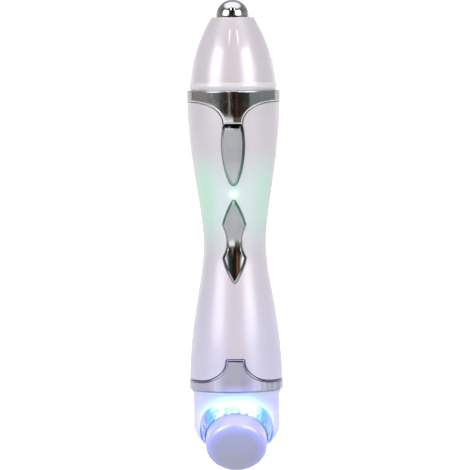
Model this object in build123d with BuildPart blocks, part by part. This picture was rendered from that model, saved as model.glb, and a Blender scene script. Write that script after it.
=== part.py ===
from build123d import *
import os
from math import cos, floor, radians, sin, sqrt

# Light therapy facial massager: a slim hourglass wand held upright in the hand.
# Millimetres. +Z runs along the wand to the dome tip, -Y is the front with the keys.
# The origin is on the wand's axis, at the narrowest place of the waist.

# Hourglass body; the waist is as slim as the battery and the board in front of it allow
waist_room_before_board = 4.25
upper_shoulder_radius = 17.3
upper_shoulder_height = 54.1
lower_shoulder_radius = 17.35
lower_shoulder_depth = 49.4
shell_wall = 1.8
# How the body swells from waist to shoulder: share of the height, share of the swell
upper_swell = ((0.20, 0.12), (0.455, 0.49), (0.72, 0.845))
lower_swell = ((0.18, 0.139), (0.45, 0.53), (0.72, 0.848))
shoulder_slope = 0.04

# Bright bands round both ends of the body, each with a tongue on the front
band_proud = 0.15
band_thickness = 1.0
band_undercut = 0.2
band_edge_radius = 0.25
upper_band_height = 4.0
upper_tongue_length = 8.2
upper_tongue_straight = 0.6
upper_tongue_half_width = 3.6
upper_tongue_flare = 12.4
lower_band_height = 3.8
lower_tongue_length = 8.2
lower_tongue_straight = 0.7
lower_tongue_half_width = 3.5
lower_tongue_flare = 10.5
tongue_clearance = 0.25
tongue_floor_gap = 0.05

# Mode key, a long leaf shape under the upper tongue
key_gap = 0.4
mode_key_top_half_width = 3.55
mode_key_half_width = 4.21
mode_key_widest_below_top = 7.1
mode_key_low_half_width = 3.2
mode_key_low_below_widest = 9.0
mode_key_point_below_widest = 16.8
mode_key_tip_radius = 1.5
mode_key_corner = 0.7
mode_key_travel = 0.5

# Power rocker, two diamonds joined at the waist
rocker_pivot_height = 2.3
rocker_corner_reach = 6.05
rocker_corner_half_width = 4.35
rocker_waist_half_width = 2.6
rocker_point_reach = 15.9
rocker_edge_bulge = 0.45
rocker_point_radius = 0.7
rocker_corner_radius = 0.25
rocker_swing = 2.5

# What both keys share
key_proud = 0.5
key_depth = 1.6
key_clearance = 0.2
key_flange = 0.9
key_flange_thickness = 0.8
key_flange_gap = 0.2
mode_stem_radius = 1.6
rocker_pin_radius = 0.5
rocker_pin_inset = 1.75
rocker_pin_clearance = 0.04
rocker_ear_thickness = 1.3
rocker_ear_gap = 0.2
rocker_ear_reach = 1.6
rocker_block_gap = 0.3
rocker_block_depth = 2.8
rocker_block_height = 2.6
rocker_nub_radius = 0.9
rocker_nub_gap = 0.05

# Screws that close the body from the back
shell_screw_radius = 1.0
shell_screw_head_radius = 1.9
shell_screw_head_height = 1.2
shell_screw_head_edge = 0.5
shell_screw_length = 11.0
shell_screw_spare = 0.5
cross_recess_length = 2.2
cross_recess_width = 0.45
cross_recess_depth = 0.6
screw_seat_behind_seam = 6.0
screw_boss_radius = 2.9
upper_screw_offset = 10.6
upper_screw_below_shoulder = 10.1
lower_screw_offset = 9.2
lower_screw_above_shoulder = 8.9

# Battery, one AAA cell on the axis, and its holder
battery_radius = 5.25
battery_length = 44.5
battery_nub_radius = 1.9
battery_nub_height = 1.0
battery_edge_radius = 0.4
holder_clearance = 0.2
holder_wall = 0.8
holder_flange_width = 1.15
holder_flange_height = 0.3
holder_flange_gap = 0.2
holder_rib_height = 1.5
battery_spring_height = 5.2
battery_spring_radius = 3.4
battery_spring_wire = 0.3
battery_spring_turns = 4
contact_thickness = 0.4
contact_inset = 0.3
contact_pad_depth = 1.8
contact_pad_below_cell = 0.1
contact_strip_width = 3.0
contact_strip_slot_gap = 0.2
contact_strip_on_board = 1.5

# Neck collar that the cap slides over
neck_inside_seat = 2.6
neck_wall = 2.1
neck_height_above_band = 7.9
neck_depth_in_body = 6.7
neck_web_thickness = 1.6
neck_chamfer = 0.5
neck_lip_gap = 2.0
neck_rib_reach = 1.3
spigot_rib_reach = 0.7
capture_rib_height = 1.2
seal_section_radius = 0.6
seal_below_neck_top = 3.2
seal_clearance = 0.05
fit_gap = 0.1

# Cap
cap_gap = 0.4
cap_lip_inside_shoulder = 0.9
cap_lip_height = 2.4
cap_lip_edge_radius = 0.4
cap_lip_proud = 0.5
cap_height = 26.8
cap_top_round_tip = 1.96
cap_top_edge_radius = 0.7
cap_wall = 1.6
cap_sleeve_clearance = 0.3
cap_sleeve_end_gap = 0.5
cap_shelf_below_top = 3.2
cap_shelf_thickness = 2.6
cap_swell = ((0.34, 0.85), (0.53, 0.68), (0.72, 0.436))

# Dome tip
tip_radius = 6.14
tip_clearance = 0.08
tip_above_cap = 0.4
tip_stem_radius = 1.5
tip_stem_length = 5.5
tip_nut_width = 5.5
tip_nut_height = 2.0
cap_spring_radius = 2.4
cap_spring_wire = 0.35
cap_spring_turns = 7
contact_disc_gap = 0.3
contact_disc_clearance = 1.6

# Main board and what stands on it
board_gap = 0.15
board_thickness = 1.0
board_corner_gap = 0.25
board_below_shoulder = 4.6
board_above_shoulder = 13.4
board_screw_radius = 0.9
board_screw_head_radius = 1.6
board_screw_head_height = 0.8
board_screw_bite = 3.0
board_screw_depths = (19.0, 30.5)
board_boss_radius = 2.2
board_pad_below_top = 1.5
board_pad_offset = 4.0
board_pad_width = 2.4
chip_width = 7.0
chip_height = 5.0
chip_thickness = 1.5
chip_chamfer = 0.3
coil_radius = 3.0
coil_hole_radius = 1.2
coil_thickness = 3.0
coil_edge_radius = 0.6
coil_above_screw = 6.5
switch_width = 4.5
switch_corner_radius = 0.4
switch_floor = 0.1
mode_switch_height = 1.6
rocker_switch_height = 1.2
plunger_radius = 0.8
plunger_clearance = 0.05
plunger_proud = 0.5
plunger_foot_gap = 0.05
rocker_switch_reach = 8.0
led_below_mode_key = 1.6
led_radius = 1.5
led_rim_width = 0.3
led_rim_height = 0.8
led_end_radius = 1.05
lens_radius = 1.1
lens_gap = 0.3
lens_behind_wall = 0.8
lens_edge_radius = 0.25

# Head with the oblique treatment plate
head_radius_round_ring = 2.5
head_flange_proud = 0.5
head_flange_height = 1.0
head_side_below_band = 12.9
head_end_height = 11.9
head_wall = 1.6
head_gap = 0.2
head_spigot_inside_seat = 1.7
head_spigot_length = 7.8
head_spigot_wall = 1.6
head_spigot_end_gap = 0.4
head_rib_above_spigot_end = 1.0
plate_tilt = 36.0
plate_axis_inside_rim = 2.65
ring_sleeve_wall = 1.0
ledge_front = 0.8
ledge_back = 1.0
ledge_width = 1.4
carrier_flange_thickness = 1.8
carrier_wall = 1.5
carrier_web_thickness = 2.0
carrier_clearance = 0.2
carrier_shoulder_width = 0.4
led_board_offset = 3.9
led_board_thickness = 1.0
led_board_bore_gap = 0.6
head_led_count = 8
head_led_size = 1.8
head_led_height = 0.8
light_ring_foot = 5.8
light_ring_shoulder = 9.5
light_ring_front = 14.1
light_ring_front_wall = 0.45
light_ring_plate_gap = 0.2
scallop_count = 28
scallop_radius = 0.45
scallop_length = 0.8
scallop_centre_out = 0.18
plate_back = 7.2
plate_face = 21.2
plate_radius = 11.35
plate_draft = 0.25
plate_ring_room = 2.25
plate_wall = 1.0
plate_face_thickness = 1.3
plate_rim_radius = 1.2
plate_stud_length = 5.1

# Vibration motor behind the plate
motor_offset = 9.2
motor_radius = 3.0
motor_length = 8.5
motor_end_from_axis = 2.0
motor_edge_radius = 0.4
motor_bore_depth = 3.0
motor_shaft_radius = 0.5
motor_shaft_reach = 4.5
motor_shaft_clearance = 0.05
motor_shaft_end_gap = 0.1
motor_weight_radius = 2.6
motor_weight_length = 3.4
motor_weight_gap = 0.7
motor_weight_flat_offset = 0.9
bracket_disc_thickness = 1.4
bracket_below_motor = 0.8
bracket_cradle_length = 6.1
bracket_cradle_width = 8.0
bracket_cradle_shift = 0.6

# Ribbon cable from the main board to the ring of lamps in the head
cable_width = 5.0
cable_thickness = 0.3
cable_bend = 1.2
cable_board_gap = 0.3
cable_start_above_board_end = 2.0
cable_drop = 6.0
cable_ledge_inside_bore = 3.0
cable_end_inside_bore = 1.6
cable_slot_gap = 0.5

# Worked out from the sizes above
beyond = 60.0
clear_of_axis = 2.0
holder_inner_radius = battery_radius + holder_clearance
holder_radius = holder_inner_radius + holder_wall
board_back = -holder_radius - board_gap
board_front = board_back - board_thickness
waist_radius = waist_room_before_board - board_front
upper_band_top = upper_shoulder_height + upper_band_height
lower_band_bottom = -lower_shoulder_depth - lower_band_height
upper_tongue_end = upper_shoulder_height - upper_tongue_length
lower_tongue_end = -lower_shoulder_depth + lower_tongue_length
upper_seat_radius = upper_shoulder_radius - band_thickness - band_undercut
lower_seat_radius = lower_shoulder_radius - band_thickness - band_undercut
mode_key_top = upper_tongue_end - key_gap
mode_key_widest = mode_key_top - mode_key_widest_below_top
mode_key_point = mode_key_widest - mode_key_point_below_widest
neck_radius = upper_seat_radius - neck_inside_seat
neck_rib_radius = neck_radius + neck_rib_reach
neck_top = upper_band_top + neck_height_above_band
neck_bottom = upper_band_top - neck_depth_in_body
neck_bore_radius = neck_radius - neck_wall
neck_web_bottom = neck_bottom + capture_rib_height
neck_web_top = neck_web_bottom + neck_web_thickness
battery_top = neck_web_top + holder_flange_height + holder_flange_gap
battery_bottom = battery_top - battery_length
holder_floor = battery_bottom - battery_spring_height - contact_thickness
# Half of the widest board that clears the wall at the waist, rounded down to a tenth
board_corner_radius = waist_radius - shell_wall - board_corner_gap
board_half_width = floor(10 * sqrt(board_corner_radius**2 - board_front**2)) / 10
board_top_height = upper_shoulder_height - board_below_shoulder
board_bottom_depth = lower_shoulder_depth - board_above_shoulder
board_pad_height = board_top_height - board_pad_below_top
upper_screw_height = upper_shoulder_height - upper_screw_below_shoulder
lower_screw_depth = lower_shoulder_depth - lower_screw_above_shoulder
led_height = mode_key_point - led_below_mode_key
cap_base = upper_band_top + cap_gap
cap_side_base = cap_base + cap_lip_height
cap_top = cap_base + cap_height
cap_shelf_top = cap_top - cap_shelf_below_top
cap_ceiling = cap_shelf_top - cap_shelf_thickness
cap_sleeve_top = neck_top + cap_sleeve_end_gap
cap_lip_radius = upper_shoulder_radius - cap_lip_inside_shoulder
cap_side_radius = cap_lip_radius - cap_lip_proud
cap_top_radius = tip_radius + cap_top_round_tip
head_top = lower_band_bottom - head_gap
head_side_bottom = lower_band_bottom - head_side_below_band
head_spigot_radius = lower_seat_radius - head_spigot_inside_seat
spigot_rib_radius = head_spigot_radius + spigot_rib_reach
head_bore_radius = head_spigot_radius - head_spigot_wall
ring_bore_radius = plate_radius + plate_ring_room
head_radius = ring_bore_radius + head_radius_round_ring
head_flange_radius = head_radius + head_flange_proud
plate_back_radius = plate_radius - plate_draft
carrier_boss_radius = plate_back_radius - plate_wall - carrier_clearance
led_board_inner_radius = carrier_boss_radius + led_board_bore_gap
plate_axis_height = lower_band_bottom - plate_radius + plate_axis_inside_rim
carrier_front = plate_face - plate_face_thickness - fit_gap

tilt = radians(plate_tilt)
plate_direction = Vector(0, -cos(tilt), -sin(tilt))
plate_origin = Vector(0, 0, plate_axis_height)
plate_axis = Axis(plate_origin, plate_direction)
# Section through the plate's axis: across it is the local x, along it the local y
plate_section = Plane(origin=plate_origin, x_dir=(1, 0, 0), z_dir=(0, sin(tilt), -cos(tilt)))

nodes = {}


def keep(name, part):
    """Names a finished piece and sets it aside to be written."""
    part.label = name
    nodes[name] = part


def plate_plane(distance):
    """Plane square to the treatment plate's axis, looking out of the head."""
    return Plane(
        origin=plate_origin + plate_direction * distance,
        x_dir=(1, 0, 0),
        z_dir=plate_direction,
    )


def front_plane(distance):
    """Upright plane in front of the axis, looking out of the front."""
    return Plane.XZ.offset(distance)


def between(low, high, share):
    """Value at a share of the way from low to high."""
    return low + (high - low) * share


def hourglass(inset):
    """Side line of the body from the lower to the upper shoulder, moved inwards by inset."""
    lower = [
        (between(waist_radius, lower_shoulder_radius, swell) - inset, -lower_shoulder_depth * height)
        for height, swell in lower_swell
    ]
    upper = [
        (between(waist_radius, upper_shoulder_radius, swell) - inset, upper_shoulder_height * height)
        for height, swell in upper_swell
    ]
    return Spline(
        (lower_shoulder_radius - inset, -lower_shoulder_depth),
        *reversed(lower),
        (waist_radius - inset, 0),
        *upper,
        (upper_shoulder_radius - inset, upper_shoulder_height),
        tangents=((-shoulder_slope, 1), (shoulder_slope, 1)),
    )


def body_radius(height):
    """Radius of the body's outside at a height, for what stands on or under it."""
    shoulder_height = upper_shoulder_height if height > 0 else -lower_shoulder_depth
    shoulder_radius = upper_shoulder_radius if height > 0 else lower_shoulder_radius
    swells = ((0, 0), *(upper_swell if height > 0 else lower_swell), (1, 1))
    reach = height / shoulder_height
    for (low, low_swell), (high, high_swell) in zip(swells, swells[1:]):
        if low <= reach <= high:
            share = between(low_swell, high_swell, (reach - low) / (high - low))
            return between(waist_radius, shoulder_radius, share)
    return shoulder_radius


def cap_side(inset):
    """Side line of the cap from its lip to its top, moved inwards by inset."""
    rise = cap_top - cap_side_base
    swells = [
        (between(cap_top_radius, cap_side_radius, share) - inset, cap_side_base + rise * height)
        for height, share in cap_swell
    ]
    return Spline(
        (cap_side_radius - inset, cap_side_base),
        *swells,
        (cap_top_radius - inset, cap_top),
        tangents=((0, 1), (-0.55, 1)),
    )


def tongue_lines(radius, shoulder, band_height, end, straight, half_width, flare, grown=0.0):
    """Outline of a band's tongue seen from the front, grown all round by a clearance.

    It starts at the shoulder of the body and ends at a flat end nearer to the waist."""
    up = 1 if shoulder > end else -1
    side = half_width + flare
    start = end + up * straight
    inner = half_width + grown
    outer_height = shoulder - up * grown
    rise = abs(outer_height - start)
    first_angle = {1: (90, 0), -1: (180, 270)}[up]
    for x, angle in zip((side, -side), first_angle):
        EllipticalCenterArc((x, start), flare - grown, rise, start_angle=angle, arc_size=90)
    tip = end - up * grown
    Polyline((inner, start), (inner, tip), (-inner, tip), (-inner, start))
    edge = radius + 1
    far = shoulder + up * band_height
    Polyline(
        (side, outer_height),
        (edge, outer_height),
        (edge, far),
        (-edge, far),
        (-edge, outer_height),
        (-side, outer_height),
    )


def upper_tongue_lines(grown=0.0):
    tongue_lines(
        upper_shoulder_radius,
        upper_shoulder_height,
        upper_band_height,
        upper_tongue_end,
        upper_tongue_straight,
        upper_tongue_half_width,
        upper_tongue_flare,
        grown,
    )


def lower_tongue_lines(grown=0.0):
    tongue_lines(
        lower_shoulder_radius,
        -lower_shoulder_depth,
        lower_band_height,
        lower_tongue_end,
        lower_tongue_straight,
        lower_tongue_half_width,
        lower_tongue_flare,
        grown,
    )


def mode_key_lines():
    """Leaf outline of the mode key: a flat top and full sides that meet in a point."""
    for side in (-1, 1):
        flank = ThreePointArc(
            (side * mode_key_top_half_width, mode_key_top),
            (side * mode_key_half_width, mode_key_widest),
            (side * mode_key_low_half_width, mode_key_widest - mode_key_low_below_widest),
        )
        TangentArc(flank @ 1, (0, mode_key_point), tangent=flank % 1)
    Line((-mode_key_top_half_width, mode_key_top), (mode_key_top_half_width, mode_key_top))


def rocker_lines():
    """Outline of the rocker: two diamonds with hollow sides where they join."""
    for side in (-1, 1):
        corner = side * rocker_corner_half_width
        ThreePointArc(
            (corner, rocker_pivot_height + rocker_corner_reach),
            (side * rocker_waist_half_width, rocker_pivot_height),
            (corner, rocker_pivot_height - rocker_corner_reach),
        )
        for up in (-1, 1):
            middle = rocker_pivot_height + up * (rocker_corner_reach + rocker_point_reach) / 2
            ThreePointArc(
                (corner, rocker_pivot_height + up * rocker_corner_reach),
                (corner / 2 + side * rocker_edge_bulge, middle + up * rocker_edge_bulge / 2),
                (0, rocker_pivot_height + up * rocker_point_reach),
            )


def skin_piece(outline, outside, inside, corners=(), grown=0.0, both=False):
    """Piece of the body's skin between two insets, cut to an outline seen from the front.

    corners lists (select, radius) pairs, where select picks the corners to round.
    With both it is cut from the back of the body as well."""
    with BuildPart() as piece:
        with BuildSketch(Plane.XZ):
            with BuildLine():
                outer = hourglass(outside)
                inner = hourglass(inside)
                for end, rise in ((0, -lower_band_height / 2), (1, upper_band_height / 2)):
                    past = Vector(0, rise)
                    Polyline(outer @ end, outer @ end + past, inner @ end + past, inner @ end)
            make_face()
        revolve(axis=Axis.Z)
        with BuildSketch(Plane.XZ if both else front_plane(clear_of_axis)) as seen:
            with BuildLine():
                outline()
            make_face()
            for select, radius in corners:
                fillet(select(seen.vertices()), radius)
            if grown:
                offset(amount=grown)
        extrude(amount=beyond, both=both, mode=Mode.INTERSECT)
    return piece.part


def band_tongue(outline, radius):
    """Upright tongue of a band: a curved plate that stands proud where the body draws in."""
    with BuildPart() as tongue:
        with BuildSketch(Plane.XZ):
            with BuildLine():
                floor = hourglass(band_thickness - band_proud)
                low = floor @ 0 - Vector(0, lower_band_height / 2)
                high = floor @ 1 + Vector(0, upper_band_height / 2)
                outside = radius + band_proud
                Polyline(floor @ 0, low, (outside, low.Y), (outside, high.Y), high, floor @ 1)
            make_face()
        revolve(axis=Axis.Z)
        with BuildSketch(Plane.XZ):
            with BuildLine():
                outline()
            make_face()
        extrude(amount=beyond, mode=Mode.INTERSECT)
        split(bisect_by=Plane.XY, keep=Keep.TOP if radius == upper_shoulder_radius else Keep.BOTTOM)
    return tongue.part


def lowest_corner(corners):
    return corners.sort_by(Axis.Y)[0]


def highest_pair(corners):
    return corners.sort_by(Axis.Y)[-2:]


def end_corners(corners):
    ranked = corners.sort_by(Axis.Y)
    return [ranked[0], ranked[-1]]


def side_corners(corners):
    return corners.sort_by(Axis.Y)[1:-1]


mode_key_corners = ((lowest_corner, mode_key_tip_radius), (highest_pair, mode_key_corner))
rocker_corners = ((end_corners, rocker_point_radius), (side_corners, rocker_corner_radius))


def body_outline():
    """Closed outline of the solid body with the seats for both bands."""
    side = hourglass(0)
    Polyline(
        side @ 1,
        (upper_seat_radius, upper_shoulder_height),
        (upper_seat_radius, upper_band_top + fit_gap),
        (0, upper_band_top + fit_gap),
        (0, lower_band_bottom - head_gap / 2),
        (lower_seat_radius, lower_band_bottom - head_gap / 2),
        (lower_seat_radius, -lower_shoulder_depth),
        side @ 0,
    )


# Hollow of the body: the wall's inner line, necked in at both ends round the parts held there
lip_height = upper_band_top - neck_depth_in_body - neck_lip_gap
lower_lip_height = head_top + head_spigot_length + head_spigot_end_gap
neck_groove_bottom = neck_bottom - fit_gap
spigot_rib_top = head_top + head_spigot_length - head_rib_above_spigot_end
spigot_rib_bottom = spigot_rib_top - capture_rib_height

with BuildPart() as body_hollow:
    with BuildSketch(Plane.XZ):
        with BuildLine():
            wall_line = hourglass(shell_wall)
            Line(wall_line @ 1, (0, upper_shoulder_height))
            Line((0, upper_shoulder_height), (0, -lower_shoulder_depth))
            Line((0, -lower_shoulder_depth), wall_line @ 0)
        make_face()
    revolve(axis=Axis.Z)
    split(bisect_by=Plane.XY.offset(lip_height), keep=Keep.BOTTOM)
    split(bisect_by=Plane.XY.offset(lower_lip_height), keep=Keep.TOP)
    with BuildSketch(Plane.XY.offset(lip_height)):
        Circle(neck_radius + fit_gap)
    extrude(amount=upper_band_top + 1 - lip_height)
    with BuildSketch(Plane.XY.offset(neck_groove_bottom)):
        Circle(neck_rib_radius + fit_gap)
    extrude(amount=capture_rib_height + 2 * fit_gap)
    with BuildSketch(Plane.XY.offset(lower_lip_height)):
        Circle(head_spigot_radius + fit_gap)
    extrude(amount=head_top - 1 - lower_lip_height)
    with BuildSketch(Plane.XY.offset(spigot_rib_bottom - fit_gap)):
        Circle(spigot_rib_radius + fit_gap)
    extrude(amount=capture_rib_height + 2 * fit_gap)

screw_heights = ((upper_screw_offset, upper_screw_height), (lower_screw_offset, -lower_screw_depth))
screw_places = [(side * offset_x, height) for offset_x, height in screw_heights for side in (-1, 1)]

upper_tongue = band_tongue(upper_tongue_lines, upper_shoulder_radius)
lower_tongue = band_tongue(lower_tongue_lines, lower_shoulder_radius)
tongue_recess_floor = band_thickness - band_proud + tongue_floor_gap
upper_recess = skin_piece(lambda: upper_tongue_lines(tongue_clearance), -1, tongue_recess_floor, both=True)
lower_recess = skin_piece(lambda: lower_tongue_lines(fit_gap), -1, tongue_recess_floor, both=True)
mode_key_hole = skin_piece(mode_key_lines, -2, shell_wall + 2, mode_key_corners, key_clearance)
rocker_hole = skin_piece(rocker_lines, -2, shell_wall + 2, rocker_corners, key_clearance)

pin_plane_distance = waist_radius - rocker_pin_inset
ear_inner = rocker_waist_half_width + key_clearance + rocker_ear_gap
ear_outer = ear_inner + rocker_ear_thickness
board_screw_places = [(0, -depth) for depth in board_screw_depths]

# Front half of the body, with bosses, pads and the ears that hold the rocker's pin
with BuildPart() as front_hollow:
    add(body_hollow.part)
    with BuildSketch(Plane.XZ):
        with Locations(*screw_places):
            Circle(screw_boss_radius)
    extrude(amount=beyond, mode=Mode.SUBTRACT)
    with BuildSketch(front_plane(-board_front)):
        with Locations(*board_screw_places):
            Circle(board_boss_radius)
        with Locations(*[(side * board_pad_offset, board_pad_height) for side in (-1, 1)]):
            Rectangle(board_pad_width, board_pad_width)
    extrude(amount=beyond, mode=Mode.SUBTRACT)
    with BuildSketch(front_plane(pin_plane_distance - rocker_ear_reach)):
        for side in (-1, 1):
            with Locations((side * (ear_inner + ear_outer) / 2, rocker_pivot_height)):
                Rectangle(rocker_ear_thickness, 2 * rocker_ear_reach)
    extrude(amount=beyond, mode=Mode.SUBTRACT)

with BuildPart() as front_shell:
    with BuildSketch(Plane.XZ):
        with BuildLine():
            body_outline()
        make_face()
    revolve(axis=Axis.Z)
    add(front_hollow.part, mode=Mode.SUBTRACT)
    add(upper_recess, mode=Mode.SUBTRACT)
    add(lower_recess, mode=Mode.SUBTRACT)
    split(bisect_by=Plane.XZ, keep=Keep.TOP)
    add(mode_key_hole, mode=Mode.SUBTRACT)
    add(rocker_hole, mode=Mode.SUBTRACT)
    with BuildSketch(Plane.XZ):
        with Locations((0, led_height)):
            Circle(lens_radius)
    extrude(amount=beyond, mode=Mode.SUBTRACT)
    with BuildSketch(Plane.XZ):
        with Locations(*screw_places):
            Circle(shell_screw_radius)
    extrude(amount=shell_screw_length - screw_seat_behind_seam + shell_screw_spare, mode=Mode.SUBTRACT)
    with BuildSketch(front_plane(-board_front)):
        with Locations(*board_screw_places):
            Circle(board_screw_radius)
    extrude(amount=board_screw_bite, mode=Mode.SUBTRACT)
    with BuildSketch(Plane.YZ.offset(-ear_outer)):
        with Locations((-pin_plane_distance, rocker_pivot_height)):
            Circle(rocker_pin_radius)
    extrude(amount=2 * ear_outer, mode=Mode.SUBTRACT)
keep("front_shell", front_shell.part)

# Back half, with the screws' deep seats and a rib under the battery holder
with BuildPart() as back_hollow:
    add(body_hollow.part)
    with BuildSketch(Plane.XZ):
        with Locations(*screw_places):
            Circle(screw_boss_radius)
    extrude(amount=-beyond, mode=Mode.SUBTRACT)
    with BuildSketch(Plane.XY.offset(holder_floor - holder_wall - holder_rib_height)):
        Rectangle(2 * beyond, 2 * beyond, align=(Align.CENTER, Align.MIN))
    extrude(amount=holder_rib_height, mode=Mode.SUBTRACT)

with BuildPart() as back_shell:
    with BuildSketch(Plane.XZ):
        with BuildLine():
            body_outline()
        make_face()
    revolve(axis=Axis.Z)
    add(back_hollow.part, mode=Mode.SUBTRACT)
    split(bisect_by=Plane.XZ, keep=Keep.BOTTOM)
    with BuildSketch(Plane.XZ):
        with Locations(*screw_places):
            Circle(shell_screw_radius + fit_gap)
    extrude(amount=-beyond, mode=Mode.SUBTRACT)
    with BuildSketch(front_plane(-screw_seat_behind_seam)):
        with Locations(*screw_places):
            Circle(shell_screw_head_radius + fit_gap)
    extrude(amount=-beyond, mode=Mode.SUBTRACT)
keep("back_shell", back_shell.part)

# Four shell screws, alike, so they share one node
with BuildPart() as shell_screws:
    with BuildSketch(front_plane(-screw_seat_behind_seam)):
        with Locations(*screw_places):
            Circle(shell_screw_radius)
    extrude(amount=shell_screw_length)
    with BuildSketch(front_plane(-screw_seat_behind_seam)):
        with Locations(*screw_places):
            Circle(shell_screw_head_radius)
    extrude(amount=-shell_screw_head_height)
    head_rims = shell_screws.edges().filter_by(GeomType.CIRCLE).group_by(Axis.Y)[-1]
    fillet(head_rims, shell_screw_head_edge)
    with BuildSketch(front_plane(-screw_seat_behind_seam - shell_screw_head_height)):
        with Locations(*screw_places):
            Rectangle(cross_recess_length, cross_recess_width)
            Rectangle(cross_recess_width, cross_recess_length)
    extrude(amount=cross_recess_depth, mode=Mode.SUBTRACT)
keep("shell_screws", shell_screws.part)

# Bands
with BuildPart() as upper_band:
    with BuildSketch(Plane.XY.offset(upper_shoulder_height)):
        Circle(upper_shoulder_radius + band_proud)
        Circle(upper_seat_radius, mode=Mode.SUBTRACT)
    extrude(amount=upper_band_height)
    add(upper_tongue)
    outer_rim = upper_band.edges().filter_by(GeomType.CIRCLE).group_by(Axis.Z)[-1].sort_by(SortBy.LENGTH)[-1]
    fillet(outer_rim, band_edge_radius)
keep("upper_band", upper_band.part)

with BuildPart() as lower_band:
    with BuildSketch(Plane.XY.offset(lower_band_bottom)):
        Circle(lower_shoulder_radius + band_proud)
        Circle(lower_seat_radius, mode=Mode.SUBTRACT)
    extrude(amount=lower_band_height)
    add(lower_tongue)
    outer_rim = lower_band.edges().filter_by(GeomType.CIRCLE).group_by(Axis.Z)[0].sort_by(SortBy.LENGTH)[-1]
    fillet(outer_rim, band_edge_radius)
keep("lower_band", lower_band.part)

# Neck collar with a web that carries the battery holder, and the ring seal round it
seal_height = neck_top - seal_below_neck_top
seal_centre_radius = neck_radius + cap_sleeve_clearance - seal_clearance - seal_section_radius
with BuildPart() as neck_collar:
    with BuildSketch(Plane.XY.offset(neck_bottom)):
        Circle(neck_radius)
        Circle(neck_bore_radius, mode=Mode.SUBTRACT)
    extrude(amount=neck_top - neck_bottom)
    with BuildSketch(Plane.XY.offset(neck_bottom)):
        Circle(neck_rib_radius)
        Circle(neck_bore_radius, mode=Mode.SUBTRACT)
    extrude(amount=capture_rib_height)
    with BuildSketch(Plane.XY.offset(neck_web_bottom)):
        Circle(neck_bore_radius + neck_wall / 2)
        Circle(holder_radius + fit_gap, mode=Mode.SUBTRACT)
        with Locations((0, board_front - contact_thickness / 2)):
            Rectangle(
                contact_strip_width + 2 * contact_strip_slot_gap,
                contact_thickness + 2 * contact_strip_slot_gap,
                mode=Mode.SUBTRACT,
            )
    extrude(amount=neck_web_thickness)
    with BuildSketch(Plane.XY.offset(seal_height - seal_section_radius - seal_clearance)):
        Circle(neck_rib_radius)
        Circle(seal_centre_radius - seal_section_radius, mode=Mode.SUBTRACT)
    extrude(amount=2 * (seal_section_radius + seal_clearance), mode=Mode.SUBTRACT)
    top_rim = neck_collar.edges().filter_by(GeomType.CIRCLE).group_by(Axis.Z)[-1]
    chamfer(top_rim.sort_by(SortBy.LENGTH)[-1], neck_chamfer)
keep("neck_collar", neck_collar.part)

with BuildPart() as cap_seal:
    with BuildSketch(Plane.XZ):
        with Locations((seal_centre_radius, seal_height)):
            Circle(seal_section_radius)
    revolve(axis=Axis.Z)
keep("cap_seal", cap_seal.part)

# Battery holder, hung by its flange in the neck's web, with the cell, its spring and its contact
with BuildPart() as battery_holder:
    with BuildSketch(Plane.XY.offset(holder_floor - holder_wall)):
        Circle(holder_radius)
    extrude(amount=neck_web_top - holder_floor + holder_wall)
    with BuildSketch(Plane.XY.offset(neck_web_top)):
        Circle(holder_radius + holder_flange_width)
    extrude(amount=holder_flange_height)
    with BuildSketch(Plane.XY.offset(holder_floor)):
        Circle(holder_inner_radius)
    extrude(amount=beyond, mode=Mode.SUBTRACT)
keep("battery_holder", battery_holder.part)

with BuildPart() as battery_contact:
    with BuildSketch(Plane.XY.offset(holder_floor)):
        Circle(battery_radius - contact_inset)
    extrude(amount=contact_thickness)
keep("battery_contact", battery_contact.part)

spring_foot = holder_floor + contact_thickness + battery_spring_wire
with BuildPart() as battery_spring:
    with BuildLine():
        coil = Helix(
            pitch=(battery_spring_height - 2 * battery_spring_wire) / battery_spring_turns,
            height=battery_spring_height - 2 * battery_spring_wire,
            radius=battery_spring_radius,
            center=(0, 0, spring_foot),
        )
    with BuildSketch(Plane(origin=coil @ 0, z_dir=coil % 0)):
        Circle(battery_spring_wire)
    sweep()
keep("battery_spring", battery_spring.part)

with BuildPart() as battery_cell:
    with BuildSketch(Plane.XY.offset(battery_bottom)):
        Circle(battery_radius)
    extrude(amount=battery_length - battery_nub_height)
    fillet(battery_cell.edges().filter_by(GeomType.CIRCLE), battery_edge_radius)
    with BuildSketch(Plane.XY.offset(battery_top - battery_nub_height)):
        Circle(battery_nub_radius)
    extrude(amount=battery_nub_height)
keep("battery_cell", battery_cell.part)

# Strip that brings the cell's top terminal down through the web to the board
contact_pad_height = battery_top - contact_pad_below_cell
with BuildPart() as neck_contact:
    with BuildSketch(Plane.XY.offset(neck_web_top)):
        with Locations((0, board_front)):
            Rectangle(contact_strip_width, contact_pad_depth, align=(Align.CENTER, Align.MAX))
    extrude(amount=contact_pad_height - neck_web_top)
    with BuildSketch(Plane.XY.offset(contact_pad_height)):
        with Locations((0, board_front)):
            Rectangle(contact_strip_width, contact_thickness, align=(Align.CENTER, Align.MAX))
    extrude(amount=board_top_height - contact_strip_on_board - contact_pad_height)
keep("neck_contact", neck_contact.part)

# Main board, its screws and the parts soldered to it
with BuildPart() as main_board:
    with BuildSketch(front_plane(-board_back)):
        with Locations((0, -board_bottom_depth)):
            Rectangle(
                2 * board_half_width,
                board_top_height + board_bottom_depth,
                align=(Align.CENTER, Align.MIN),
            )
        with Locations(*board_screw_places):
            Circle(board_screw_radius, mode=Mode.SUBTRACT)
    extrude(amount=board_thickness)
keep("main_board", main_board.part)

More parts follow.
